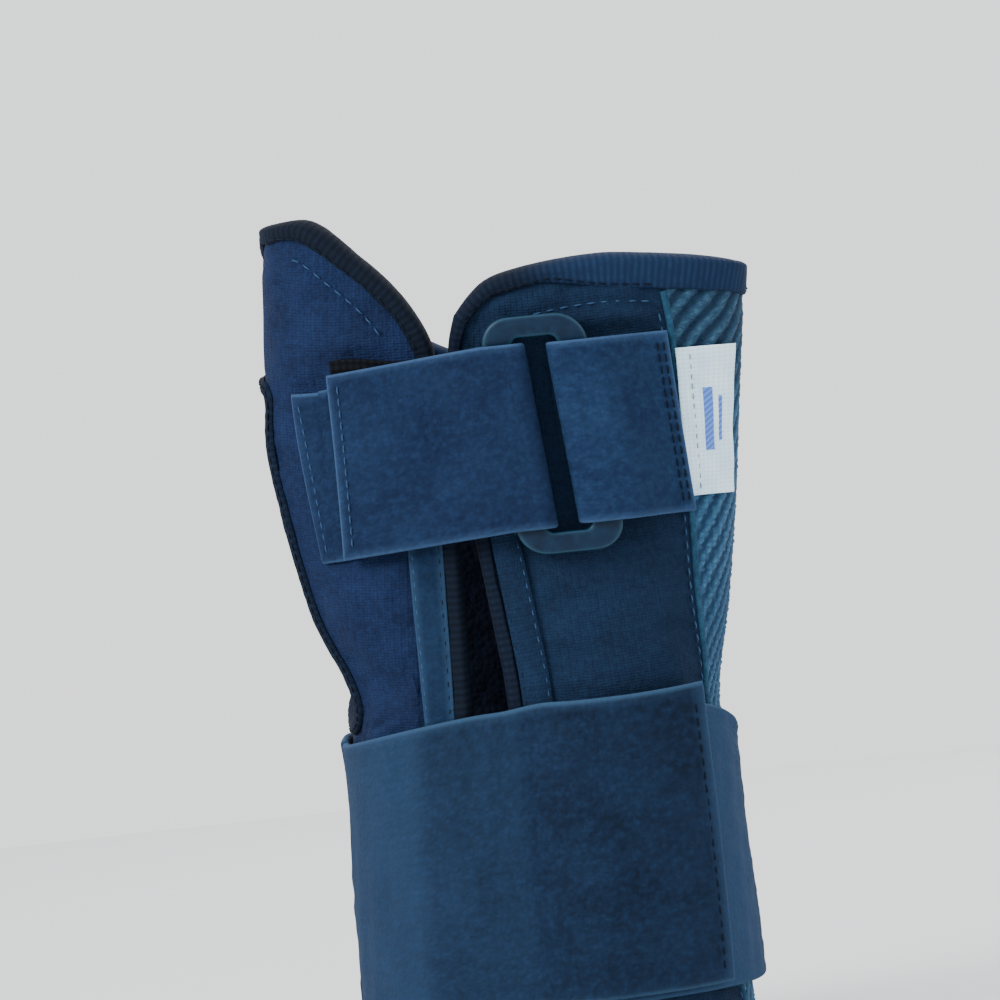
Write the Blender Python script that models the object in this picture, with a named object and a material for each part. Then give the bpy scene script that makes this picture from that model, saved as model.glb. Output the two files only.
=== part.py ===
"""Wrist splint for a right hand. A wrap-round sleeve opens along the back of the hand between
two padded flaps. A webbing strap runs from the thumb-side flap through a ring on the
little-finger-side flap and folds back on itself, a wide elastic strap goes round the wrist,
and a removable metal stay sits in a pocket on the palm side.

The sleeve is drawn straight in millimetres and then bent back at the wrist. A place on it is an
angle phi round the arm (0 on the back of the hand, positive towards the little finger, 180 deg
on the palm), a height s measured along the arm, and an offset o out of the outer cloth."""
from math import acos, asin, atan2, cos, hypot, pi, radians, sin

import bmesh
import bpy
from mathutils import Vector

MM = 0.001
GAP = 0.3

# Sleeve form: half widths towards each side and half depths towards back and palm, by height.
BEND_RADIUS = 532.0
WIDTH_ULNAR = ((0, 32.6), (12, 31.8), (60, 31.1), (78, 34.5), (94, 37.1), (112, 39.3), (134, 42.0),
               (152, 42.8))
WIDTH_RADIAL = ((0, 32.6), (30, 31.8), (62, 31.6), (81, 37.0), (95, 39.8), (112, 41.2), (124, 40.4),
                (152, 37.4))
DEPTH_BACK = ((0, 29), (30, 28.2), (60, 25.6), (80, 22.4), (100, 19.8), (120, 17.9), (140, 16.9),
              (160, 16.6))
DEPTH_PALM = 21.0
POWER_BACK = 2.3
POWER_PALM = 3.2
ORIGIN = (0.680, -5.894)

# Fold planes at the two sides: straight lines seen from the side, leaning back with the bend.
FOLD_Y = 0.5
FOLD_LEAN = -0.1418

# Cloth layers, as offsets.
SHELL = (-1.4, 0.0)
INTERLINING = (-2.25, -1.75)
LINING = (-3.6, -2.6)
MESH = (-3.6, 0.0)
TAPE = (0.3, 0.8)
BINDING_WALL = 0.6
BINDING_REACH = 0.95
BINDING_FLOOR = 0.45
WIDE_BINDING = 4.5
NARROW_BINDING = 2.4

# Heights.
CLOTH_BOTTOM = BINDING_REACH
HOLE_BOTTOM = 64.2
HOLE_TOP = 121.5
WEB_TOP = 149.6
ULNAR_TOP = 134.4
PALM_SEAM = radians(125)
PALM_TOP = ((88, 134.4), (105, 132.2), (125, 127.0), (147, 121.3), (172, 118.6), (197, 119.2),
            (218, 124.2), (236, 133.0), (254, 143.8), (272, 149.6))
HOLE_REACH = radians(47)

# Wide wrist strap.
STRAP_THICK = 1.6
STRAP_LOW = 1.3
STRAP_S = (13.5, 65.6)
STRAP_END_X = 24.5
ANCHOR_START_X = 8.0
HOOK_THICK = 0.8
HOOK_X = (9.5, 23.4)

# Hand strap, its ring and the loop that holds the ring.
WEBBING_THICK = 1.2
WEBBING_Z = (92.1, 123.3)
WEBBING_LOW = 1.4
RING_CENTRE = (6.6, 107.75)
RING_SIZE = (17.0, 40.0)
RING_SLOT = (7.2, 32.8)
RING_OFFSETS = (3.2, 5.4)
RING_TILT = 0.0815
BAR_CLEAR = 0.5
STRAP_START_X = -30.7
TAIL_START_X = 1.0
TAIL_END_X = -28.3

# Palm stay and its pocket.
STAY_Y = (22.5, 24.1)
STAY_S = (16.5, 109.0)
STAY_HALF = (12.0, 15.5)
POCKET_Y = (24.4, 25.3)
POCKET_S = (8.0, 110.5)

LOOKS = {
    "laminate": ((0.016, 0.037, 0.085), 0.9, 0.0),
    "lining": ((0.022, 0.030, 0.052), 0.95, 0.0),
    "mesh": ((0.048, 0.152, 0.250), 0.85, 0.0),
    "binding": ((0.014, 0.028, 0.058), 0.75, 0.0),
    "webbing": ((0.013, 0.036, 0.083), 0.8, 0.0),
    "elastic": ((0.016, 0.045, 0.090), 0.8, 0.0),
    "hook": ((0.010, 0.016, 0.030), 0.6, 0.0),
    "plastic": ((0.017, 0.046, 0.078), 0.4, 0.0),
    "steel": ((0.55, 0.56, 0.58), 0.35, 1.0),
    "aluminium": ((0.70, 0.71, 0.73), 0.4, 1.0),
    "label": ((0.52, 0.68, 0.76), 0.6, 0.0),
}


def clear_scene():
    for obj in list(bpy.data.objects):
        bpy.data.objects.remove(obj)


def look(name):
    found = bpy.data.materials.get(name)
    if found:
        return found
    colour, roughness, metallic = LOOKS[name]
    made = bpy.data.materials.new(name)
    made.use_nodes = True
    shader = made.node_tree.nodes["Principled BSDF"]
    shader.inputs["Base Color"].default_value = (*colour, 1.0)
    shader.inputs["Roughness"].default_value = roughness
    shader.inputs["Metallic"].default_value = metallic
    return made


# ---------------------------------------------------------------- sleeve form

def smooth(low, high, value):
    t = min(1.0, max(0.0, (value - low) / (high - low)))
    return t * t * (3 - 2 * t)


def along(table, s):
    """Reads a table of (height, size) knots with a smooth curve through them."""
    last = len(table) - 1
    k = max(i for i in range(last) if i == 0 or table[i][0] <= s)
    slopes = []
    for i in (k, k + 1):
        before, after = table[max(i - 1, 0)], table[min(i + 1, last)]
        slopes.append((after[1] - before[1]) / (after[0] - before[0]))
    (s0, v0), (s1, v1) = table[k], table[k + 1]
    span = s1 - s0
    t = (s - s0) / span
    if t > 1:
        return v1 + slopes[1] * (s - s1)
    tangent = (t - 1) ** 2 * t * slopes[0] + (t - 1) * t * t * slopes[1]
    return v0 + (v1 - v0) * t * t * (3 - 2 * t) + tangent * span


def half_sizes(right, palm, s):
    width = along(WIDTH_ULNAR if right else WIDTH_RADIAL, s)
    if palm:
        return width, DEPTH_PALM, POWER_PALM
    return width, along(DEPTH_BACK, s), POWER_BACK


def bent(x, y, s):
    """Takes a point of the straight sleeve to its place on the bent one, in metres."""
    turn = s / BEND_RADIUS
    reach = BEND_RADIUS + y
    place = Vector((x - ORIGIN[0], reach * cos(turn) - BEND_RADIUS - ORIGIN[1], reach * sin(turn)))
    return place * MM


def surface(phi, s, o=0.0):
    across, back = sin(phi), -cos(phi)
    width, depth, power = half_sizes(across > 0, back > 0, s)
    share_x, share_y = abs(across) / width, abs(back) / depth
    r = (share_x ** power + share_y ** power) ** (-1 / power)
    x, y = r * across, r * back
    nx = (abs(x) / width) ** (power - 1) / width
    ny = (abs(y) / depth) ** (power - 1) / depth
    size = hypot(nx, ny)
    nx = nx if x > 0 else -nx
    ny = ny if y > 0 else -ny
    return bent(x + o * nx / size, y + o * ny / size, s)


def front(x, z):
    """The (phi, s) of the sleeve's back where a viewer facing it sees x and height z."""
    s = z
    for _ in range(6):
        width, depth, power = half_sizes(x > 0, False, s)
        share = min(0.9995, abs(x) / width)
        y = -depth * (1 - share ** power) ** (1 / power)
        s = BEND_RADIUS * asin(z / (BEND_RADIUS + y))
    return atan2(x, -y), s


def fold(side, s, gap=0.0):
    """The angle where a side's fold plane (+1 ulnar, -1 radial) cuts the wall at height s.
    A positive gap moves it towards the palm."""
    turn = s / BEND_RADIUS
    y = (BEND_RADIUS + FOLD_Y) / (cos(turn) - FOLD_LEAN * sin(turn)) - BEND_RADIUS
    width = half_sizes(side > 0, False, s)[0]
    return side * (acos(-y / width) + gap / width)


def fold_line(side, low, high, count, gap):
    heights = [low + (high - low) * i / count for i in range(count + 1)]
    return [(fold(side, s, gap), s) for s in heights]


def past_palm(points):
    """Radial-side angles written past 180 degrees, so that a palm patch has no jump."""
    return [(phi + 2 * pi, s) for phi, s in points]


# ---------------------------------------------------------------- curves and patches

def even(points, count):
    """Spreads count + 1 points evenly along a smooth curve through (phi, s) points."""
    fine = []
    last = len(points) - 1
    for i in range(last):
        p0, p1 = points[max(i - 1, 0)], points[i]
        p2, p3 = points[i + 1], points[min(i + 2, last)]
        for j in range(12):
            t = j / 12
            fine.append(tuple(
                0.5 * (2 * b + (c - a) * t + (2 * a - 5 * b + 4 * c - d) * t * t
                       + (3 * b - a - 3 * c + d) * t ** 3)
                for a, b, c, d in zip(p0, p1, p2, p3)))
    fine.append(points[-1])
    places = [surface(*p) for p in fine]
    run = [0.0]
    for a, b in zip(places, places[1:]):
        run.append(run[-1] + (b - a).length)
    made = []
    k = 0
    for i in range(count + 1):
        want = run[-1] * i / count
        while k < len(run) - 2 and run[k + 1] < want:
            k += 1
        t = (want - run[k]) / (run[k + 1] - run[k])
        made.append(tuple(a + (b - a) * t for a, b in zip(fine[k], fine[k + 1])))
    return made


def patch(left, right, bottom, top):
    """A grid of (phi, s) between four edges; left and right run upwards, the others rightwards."""
    rows, columns = len(left) - 1, len(bottom) - 1
    grid = []
    for i in range(columns + 1):
        u = i / columns
        line = []
        for j in range(rows + 1):
            v = j / rows
            line.append(tuple(
                (1 - u) * left[j][k] + u * right[j][k] + (1 - v) * bottom[i][k] + v * top[i][k]
                - (1 - u) * (1 - v) * left[0][k] - u * (1 - v) * right[0][k]
                - (1 - u) * v * left[-1][k] - u * v * right[-1][k]
                for k in range(2)))
        grid.append(line)
    return grid


def finish(name, points, faces, look_name, sharp=40):
    mesh = bpy.data.meshes.new(name)
    mesh.from_pydata(points, [], faces)
    work = bmesh.new()
    work.from_mesh(mesh)
    bmesh.ops.recalc_face_normals(work, faces=work.faces)
    work.to_mesh(mesh)
    work.free()
    mesh.shade_smooth()
    mesh.set_sharp_from_angle(angle=radians(sharp))
    mesh.materials.append(look(look_name))
    obj = bpy.data.objects.new(name, mesh)
    bpy.context.scene.collection.objects.link(obj)
    return obj


def plate(name, low, high, look_name):
    """A closed plate between two equal grids of points."""
    columns, rows = len(low), len(low[0])
    points = [p for grid in (low, high) for line in grid for p in line]

    def at(side, i, j):
        return side * columns * rows + i * rows + j

    faces = []
    for i in range(columns - 1):
        for j in range(rows - 1):
            for side in (0, 1):
                square = ((i, j), (i + 1, j), (i + 1, j + 1), (i, j + 1))
                faces.append([at(side, *corner) for corner in square])
    rim = [(i, 0) for i in range(columns)] + [(columns - 1, j) for j in range(1, rows)]
    rim += [(i, rows - 1) for i in range(columns - 2, -1, -1)] + [(0, j) for j in range(rows - 2, 0, -1)]
    for (i, j), (k, m) in zip(rim, rim[1:] + rim[:1]):
        faces.append([at(0, i, j), at(0, k, m), at(1, k, m), at(1, i, j)])
    return finish(name, points, faces, look_name)


def sheet(name, grid, low, high, look_name):
    """A layer of cloth on a (phi, s) grid between two offsets, each a number or a function."""
    def offset(value, place):
        return value(*place) if callable(value) else value

    layers = [[[surface(*p, offset(o, p)) for p in line] for line in grid] for o in (low, high)]
    return plate(name, *layers, look_name)


def cloth(name, grids, low, high, look_name):
    """One layer of cloth from several (phi, s) grids that share edge points."""
    points, index, sides, used = [], {}, [], {}
    for grid in grids:
        for a, b in zip(grid, grid[1:]):
            for j in range(len(a) - 1):
                corners = []
                for p in (a[j], b[j], b[j + 1], a[j + 1]):
                    key = (round(p[0], 5), round(p[1], 3))
                    if key not in index:
                        index[key] = len(index)
                        points.append(p)
                    if index[key] not in corners:
                        corners.append(index[key])
                sides.append(corners)
                for edge in zip(corners, corners[1:] + corners[:1]):
                    used[edge] = True
    count = len(points)
    faces = [c[::-1] for c in sides] + [[k + count for k in c] for c in sides]
    faces += [[a, b, b + count, a + count] for a, b in used if (b, a) not in used]
    places = [surface(*p, o) for o in (low, high) for p in points]
    return finish(name, places, faces, look_name)


def tube(name, rings, look_name, closed=False):
    """A closed skin through rings of points; open ends are capped."""
    size = len(rings[0])
    points = [p for ring in rings for p in ring]
    faces = []
    spans = len(rings) if closed else len(rings) - 1
    for i in range(spans):
        k = (i + 1) % len(rings)
        for j in range(size):
            m = (j + 1) % size
            faces.append([i * size + j, i * size + m, k * size + m, k * size + j])
    if not closed:
        faces.append(list(range(size)))
        faces.append([(len(rings) - 1) * size + j for j in range(size)])
    return finish(name, points, faces, look_name)


def inward(path, i, side):
    """How phi and s change per millimetre, square to a path and along the cloth."""
    phi, s = path[i]
    before, after = path[max(i - 1, 0)], path[min(i + 1, len(path) - 1)]
    step = 0.01
    along_phi = (surface(phi + step, s) - surface(phi - step, s)) / (2 * step * MM)
    along_s = (surface(phi, s + step) - surface(phi, s - step)) / (2 * step * MM)
    heading = (surface(*after) - surface(*before)).normalized()
    aim = along_phi.cross(along_s).normalized().cross(heading) * side
    pp, ps, ss = along_phi.dot(along_phi), along_phi.dot(along_s), along_s.dot(along_s)
    ap, as_ = aim.dot(along_phi), aim.dot(along_s)
    det = pp * ss - ps * ps
    return (ap * ss - as_ * ps) / det, (as_ * pp - ap * ps) / det


def trim(name, path, side, outline, look_name):
    """Sweeps an outline of (distance from the edge, offset) along an edge path. Side 0 is a
    level bottom edge, whose tape stands upright."""
    rings = []
    for i, (phi, s) in enumerate(path):
        dp, ds = inward(path, i, side) if side else (0.0, 1.0)
        corners = outline(i / (len(path) - 1)) if callable(outline) else outline
        rings.append([surface(phi + dp * d, s + ds * d, o) for d, o in corners])
    return tube(name, rings, look_name)


def binding_outline(width, room=GAP):
    """The section of a tape folded over a cloth edge, with room between tape and cloth."""
    top, bottom = room, LINING[0] - room
    outer, inner = top + BINDING_WALL, bottom - BINDING_WALL
    return [(width, outer), (-BINDING_REACH, outer), (-BINDING_REACH, inner), (width, inner),
            (width, bottom), (-BINDING_FLOOR, bottom), (-BINDING_FLOOR, top), (width, top)]


def shorten(path, amount=0.7):
    """Draws in a path's two ends, so that tapes on both sides of a fold stay apart."""
    made = list(path)
    for end, near in ((0, 1), (-1, -2)):
        length = (surface(*path[near]) - surface(*path[end])).length / MM
        made[end] = tuple(a + (b - a) * amount / length for a, b in zip(path[end], path[near]))
    return made


def ribbon(name, route, thickness, look_name, heights, rows=4):
    """A band of webbing: a route of (x, offset of its middle) with its width along the hand.
    It is square at the thumb side and leans with the ring beside the ring."""
    sides = ([], [])
    for i, (x, o) in enumerate(route):
        before, after = route[max(i - 1, 0)], route[min(i + 1, len(route) - 1)]
        run = hypot(after[0] - before[0], after[1] - before[1])
        nx, no = -(after[1] - before[1]) / run, (after[0] - before[0]) / run
        for side, sign in zip(sides, (-0.5, 0.5)):
            side.append((x + sign * thickness * nx, o + sign * thickness * no))
    layers = []
    for side in sides:
        grid = []
        for x, o in side:
            line = []
            for j in range(rows + 1):
                z = heights[0] + (heights[1] - heights[0]) * j / rows
                shift = RING_TILT * smooth(STRAP_START_X + 2, -4.0, x) * (z - RING_CENTRE[1])
                line.append(surface(*front(x - shift, z), o))
            grid.append(line)
        layers.append(grid)
    return plate(name, *layers, look_name)


# ---------------------------------------------------------------- edges of the cloth pieces

def gap_edge_radial():
    drawn = [(-13.0, 6.4), (-12.7, 35), (-12.1, 64.2), (-11.7, 81), (-10.0, 88), (-10.5, 106),
             (-11.5, 123.4)]
    return [(front(-13.0, CLOTH_BOTTOM)[0], CLOTH_BOTTOM)] + [front(*p) for p in drawn]


def top_edge_radial():
    """From the fold over the web, along the rounded top and down to the gap."""
    drawn = [(-34.0, 146.3), (-30.8, 145.4), (-27.7, 143.2), (-24.0, 139.7), (-19.8, 135.7),
             (-16.4, 132.0), (-14.8, 128.7), (-13.0, 125.3), (-11.5, 123.4)]
    return [(fold(-1, WEB_TOP, -0.2), WEB_TOP)] + [front(*p) for p in drawn]


def hole_edge_back():
    """The thumb hole's edge on the radial flap, from its lowest point to its highest."""
    drawn = [(-30.3, 64.9), (-30.2, 67.5), (-31.9, 71.5), (-35.6, 80.0), (-38.0, 91), (-39.6, 101),
             (-40.5, 109), (-40.0, 118)]
    ends = [(fold(-1, s, -0.2), s) for s in (HOLE_BOTTOM, HOLE_TOP)]
    return [ends[0]] + [front(*p) for p in drawn] + [ends[1]]


def hole_edge_palm(turn):
    """A point of the thumb hole's edge on the palm panel: half an oval reaching to the palm,
    from its lowest point at turn 0 to its highest at turn pi."""
    middle, half = (HOLE_BOTTOM + HOLE_TOP) / 2, (HOLE_TOP - HOLE_BOTTOM) / 2
    s = middle - half * cos(turn)
    return fold(-1, s, 0.2) - HOLE_REACH * sin(turn) + 2 * pi, s


def gap_edge_ulnar():
    drawn = [(-3.0, 6.4), (-3.5, 35), (-4.2, 63.6), (-4.5, 72.2), (-5.7, 80.8), (-7.1, 87.8), (-7.5, 106),
             (-7.8, 125.2), (-6.7, 127.9)]
    return [(front(-3.0, CLOTH_BOTTOM)[0], CLOTH_BOTTOM)] + [front(*p) for p in drawn]


def top_edge_ulnar():
    drawn = [(-6.7, 127.9), (-3.8, 131.0), (-0.2, 133.3), (8.0, 134.8), (18.2, 135.4), (27.0, 134.7)]
    return [front(*p) for p in drawn]


def seam_ulnar(shift):
    """The seam between the flap and the knitted mesh side, moved round the arm by a shift."""
    drawn = [(31.0, 14), (31.2, 40), (30.9, 62), (30.0, 77), (29.3, 95), (28.6, 122), (27.0, 134.7)]
    width = half_sizes(True, False, CLOTH_BOTTOM)[0]
    line = [(front(0.965 * width, CLOTH_BOTTOM)[0], CLOTH_BOTTOM)]
    line += [front(min(x, 0.985 * half_sizes(True, False, z)[0]), z) for x, z in drawn]
    return [(phi + shift / width, s) for phi, s in line]


def mesh_top():
    return [front(27.0, 134.7), front(35.0, 133.8), (fold(1, ULNAR_TOP, -0.2), ULNAR_TOP)]


def palm_top(phi):
    """Height of the top edge round the palm: low under the knuckles, high at the web."""
    return along(PALM_TOP, phi * 180 / pi)


# ---------------------------------------------------------------- sleeve pieces

def bottom_edge(start, end, count):
    return [(start + (end - start) * i / count, CLOTH_BOTTOM) for i in range(count + 1)]


def above_hem(path):
    return [p for p in path if p[1] > CLOTH_BOTTOM + WIDE_BINDING]


def channel(name, path, side, layer, low, high, look_name):
    """A strip beside a flap's free edge, between two distances from it."""
    trim(name, path, side, [(low, layer[0]), (high, layer[0]), (high, layer[1]), (low, layer[1])], look_name)


def radial_flap():
    """Thumb-side flap: outer laminate, lining, edge tapes, stitched channel and its thin stay."""
    hole = even(hole_edge_back(), 12)
    left = fold_line(-1, CLOTH_BOTTOM, HOLE_BOTTOM, 4, -0.2) + hole[1:-1]
    left += fold_line(-1, HOLE_TOP, WEB_TOP, 3, -0.2)
    right = even(gap_edge_radial(), len(left) - 1)
    top = even(top_edge_radial(), 10)
    hem = bottom_edge(left[0][0], right[0][0], 10)
    grid = patch(left, right, hem, top)
    sheet("radial_flap_laminate", grid, *SHELL, "laminate")
    sheet("radial_flap_lining", grid, *LINING, "lining")
    edge = above_hem(top + right[::-1][1:])
    trim("radial_flap_edge_binding", shorten(edge), -1, binding_outline(NARROW_BINDING), "binding")
    gap = above_hem(right)
    channel("radial_stay_channel", gap, 1, TAPE, 2.75, 7.6, "laminate")
    channel("radial_dorsal_stay", gap[1:-1], 1, INTERLINING, 3.2, 7.2, "steel")
    trim("thumb_hole_binding_back", shorten(hole), -1, binding_outline(NARROW_BINDING), "binding")
    trim("radial_flap_bottom_binding", hem, 0, binding_outline(WIDE_BINDING), "binding")


def ulnar_flap():
    """Little-finger-side flap with the front part of the mesh side panel."""
    left, seam = even(gap_edge_ulnar(), 16), even(seam_ulnar(-0.18), 16)
    top = even(top_edge_ulnar(), 9)
    hem = bottom_edge(left[0][0], seam[0][0], 9)
    grid = patch(left, seam, hem, top)
    sheet("ulnar_flap_laminate", grid, *SHELL, "laminate")
    sheet("ulnar_flap_lining", grid, *LINING, "lining")
    seam, side = even(seam_ulnar(0.18), 16), fold_line(1, CLOTH_BOTTOM, ULNAR_TOP, 16, -0.2)
    side_top, side_hem = even(mesh_top(), 4), bottom_edge(seam[0][0], side[0][0], 4)
    sheet("ulnar_mesh_front", patch(seam, side, side_hem, side_top), *MESH, "mesh")
    edge = above_hem(side_top[::-1] + top[::-1][1:] + left[::-1][1:])

    def outline(share):
        return binding_outline(WIDE_BINDING + (NARROW_BINDING - WIDE_BINDING) * smooth(0.25, 0.5, share))

    trim("ulnar_flap_edge_binding", shorten(edge), 1, outline, "binding")
    gap = above_hem(left)[:-1]
    channel("ulnar_stay_channel", gap, -1, TAPE, 2.75, 7.6, "laminate")
    channel("ulnar_dorsal_stay", gap[1:-1], -1, INTERLINING, 3.2, 7.2, "steel")
    trim("ulnar_flap_bottom_binding", hem + side_hem[1:], 0, binding_outline(WIDE_BINDING), "binding")


def palm_cells():
    """The palm panel in (phi, s) cells, cut in by the thumb hole at its radial side, with the
    points of its top edge and of the hole's edge."""
    columns, tongue = 9, 8
    low_rows, high_rows = 8, 5
    lower = [hole_edge_palm(pi / 2 - pi / 2 * i / tongue) for i in range(tongue + 1)]
    upper = [hole_edge_palm(pi / 2 + pi / 2 * i / tongue) for i in range(tongue + 1)]
    start, middle = PALM_SEAM, lower[0][1]
    for i in range(1, columns):
        point = (start + (lower[0][0] - start) * (columns - i) / columns, middle)
        lower.insert(0, point)
        upper.insert(0, point)
    lower.insert(0, (start, middle))
    upper.insert(0, (start, middle))
    below = [[(phi, CLOTH_BOTTOM + (s - CLOTH_BOTTOM) * j / low_rows) for j in range(low_rows + 1)]
             for phi, s in lower]
    above = [[(phi, s + (palm_top(phi) - s) * j / high_rows) for j in range(high_rows + 1)]
             for phi, s in upper]
    below[-1] = past_palm(fold_line(-1, CLOTH_BOTTOM, HOLE_BOTTOM, low_rows, 0.2))
    above[-1] = past_palm(fold_line(-1, HOLE_TOP, WEB_TOP, high_rows, 0.2))
    hem = [line[0] for line in below]
    top = [line[-1] for line in above]
    return below, above, hem, top, lower[columns:][::-1] + upper[columns + 1:]


def palm_side():
    """The part of the sleeve that stays put: palm panel and lining, mesh side and edge tapes."""
    below, above, hem, top, hole = palm_cells()
    cloth("palm_panel", (below, above), *SHELL, "laminate")
    cloth("palm_lining", (below, above), *LINING, "lining")
    ulnar = fold_line(1, CLOTH_BOTTOM, ULNAR_TOP, 14, 0.2)
    edge = PALM_SEAM - GAP / 27
    border = [(edge, CLOTH_BOTTOM + (palm_top(edge) - CLOTH_BOTTOM) * j / 14) for j in range(15)]
    side_top = even([ulnar[-1], (radians(105), palm_top(radians(105))), border[-1]], 5)
    side_hem = bottom_edge(ulnar[0][0], edge, 5)
    sheet("ulnar_mesh_side", patch(ulnar, border, side_hem, side_top), *MESH, "mesh")
    trim("palm_top_binding", shorten(side_top + top[1:]), -1, binding_outline(WIDE_BINDING, 0.6), "binding")
    trim("palm_bottom_binding", side_hem + hem[1:], 0, binding_outline(WIDE_BINDING), "binding")
    trim("thumb_hole_binding_palm", shorten(hole), 1, binding_outline(NARROW_BINDING, 0.6), "binding")


# ---------------------------------------------------------------- palm stay and pocket

def wall_y(x, s, o):
    width = half_sizes(x > 0, True, s)[0] + o
    return (DEPTH_PALM + o) * (1 - (abs(x) / width) ** POWER_PALM) ** (1 / POWER_PALM)


def stay_half(s):
    return STAY_HALF[0] + (STAY_HALF[1] - STAY_HALF[0]) * smooth(62, 88, s)


def palm_stay():
    """A flat metal stay, wider under the palm, with rounded ends."""
    low, high = STAY_S
    rows = 16
    layers = []
    for y in STAY_Y:
        grid = []
        for i in range(7):
            share = i / 3 - 1
            line = []
            for j in range(rows + 1):
                s = (low + high) / 2 - (high - low) / 2 * cos(pi * j / rows)
                end = 8 if s < 60 else 12
                near = min(1.0, (min(s - low, high - s) + 0.35) / end)
                line.append(bent(share * stay_half(s) * (1 - (1 - near) ** 2) ** 0.5, y, s))
            grid.append(line)
        layers.append(grid)
    plate("palm_stay", *layers, "aluminium")


def stay_pocket():
    """The pocket's cover, sewn down at both sides and below and open at the top."""
    rows = 13
    columns = ((1, 4.6), (1, 1.9), (1, 0.6), (0.5, 0), (0, 0))
    layers = ([], [])
    signed = [(-a, -b) for a, b in columns] + [(a, b) for a, b in columns[-2::-1]]
    for share, extra in signed:
        lines = ([], [])
        for j in range(rows + 1):
            s = POCKET_S[0] + (POCKET_S[1] - POCKET_S[0]) * j / rows
            half = stay_half(s) + 0.4
            x = share * half + extra
            lift = smooth(half + 1.8, half + 0.6, abs(x)) if abs(x) > half else 1.0
            lift *= smooth(POCKET_S[0] + 2.5, POCKET_S[0] + 5.5, s)
            flat = wall_y(x, s, GAP)
            y = flat + (POCKET_Y[0] - flat) * lift
            lines[0].append(bent(x, y, s))
            lines[1].append(bent(x, y + POCKET_Y[1] - POCKET_Y[0], s))
        for layer, line in zip(layers, lines):
            layer.append(line)
    plate("stay_pocket", *layers, "laminate")
    half = stay_half(POCKET_S[1]) - 0.4
    tape = []
    for y in (POCKET_Y[1] + GAP, POCKET_Y[1] + GAP + 0.5):
        tape.append([[bent(half * (i / 3 - 1), y, POCKET_S[1] - d) for d in (5.0, 0.0)] for i in range(7)])
    plate("pocket_mouth_tape", *tape, "binding")


# ---------------------------------------------------------------- wide wrist strap

def palm_lift(phi):
    """The extra offset that carries the wrist strap over the stay pocket."""
    return 3.7 * smooth(radians(104), radians(136), min(phi % (2 * pi), 2 * pi - phi % (2 * pi)))


def strap_band(name, start, end, columns, low, thickness, look_name, s_low, s_high, rows=3):
    grid = []
    for i in range(columns + 1):
        phi = start + (end - start) * i / columns
        bottom, top = s_low(phi), s_high(phi)
        grid.append([(phi, bottom + (top - bottom) * j / rows) for j in range(rows + 1)])
    return sheet(name, grid, low, lambda phi, s: low(phi, s) + thickness, look_name)


def wrist_strap():
    """The wide strap: sewn to the ulnar flap, round the palm side, then over the back."""
    middle = 40.0
    radial, ulnar = fold(-1, middle, -0.2), fold(1, middle, 0.2)
    end, start = (front(x, middle)[0] for x in (STRAP_END_X, ANCHOR_START_X))

    def first_low(phi, s):
        return STRAP_LOW + palm_lift(phi)

    def over_low(phi, s):
        rise = 2 * GAP + STRAP_THICK + HOOK_THICK
        return STRAP_LOW + rise * smooth(front(-5.0, middle)[0], front(7.0, middle)[0], phi)

    def first_top(phi):
        drop, rise = smooth(radians(45), radians(100), phi), smooth(radians(200), radians(270), phi)
        return STRAP_S[1] - 2.1 - 8.5 * drop + 4.0 * rise

    def first_bottom(phi):
        return STRAP_S[0] - 1.5 + smooth(radians(200), radians(270), phi)

    def over_top(phi):
        return STRAP_S[1] - 6.4 * smooth(radians(15), radians(90), -phi)

    def over_bottom(phi):
        return STRAP_S[0]

    def hook_low(phi, s):
        return STRAP_LOW + STRAP_THICK + GAP

    def elastic(name, from_phi, to_phi, columns, low, bottom, top):
        strap_band(name, from_phi, to_phi, columns, low, STRAP_THICK, "elastic", bottom, top)

    around = fold(-1, middle, 0.2) + 2 * pi
    elastic("wrist_strap_over", radial, end, 16, over_low, over_bottom, over_top)
    elastic("wrist_strap_round", ulnar, around, 22, first_low, first_bottom, first_top)
    elastic("wrist_strap_start", start, fold(1, middle, -0.2), 7, first_low, first_bottom, first_top)
    hook_ends = [front(x, middle)[0] for x in HOOK_X]
    strap_band("wrist_strap_hook", *hook_ends, 5, hook_low, HOOK_THICK, "hook",
               lambda phi: STRAP_S[0] + 2.5, lambda phi: STRAP_S[1] - 4.0, 2)


# ---------------------------------------------------------------- hand strap and ring

def run_low(x):
    return GAP + (WEBBING_LOW - GAP) * smooth(STRAP_START_X, -20.0, x)


def tail_low(x):
    over_hook = run_low(x) + WEBBING_THICK + HOOK_THICK + 2 * GAP
    return over_hook + (RING_OFFSETS[1] + BAR_CLEAR - over_hook) * smooth(-13.0, -3.5, x)


def straight(start, end, count, low, thickness):
    xs = [start + (end - start) * i / count for i in range(count + 1)]
    return [(x, low(x) + thickness / 2) for x in xs]


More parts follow.
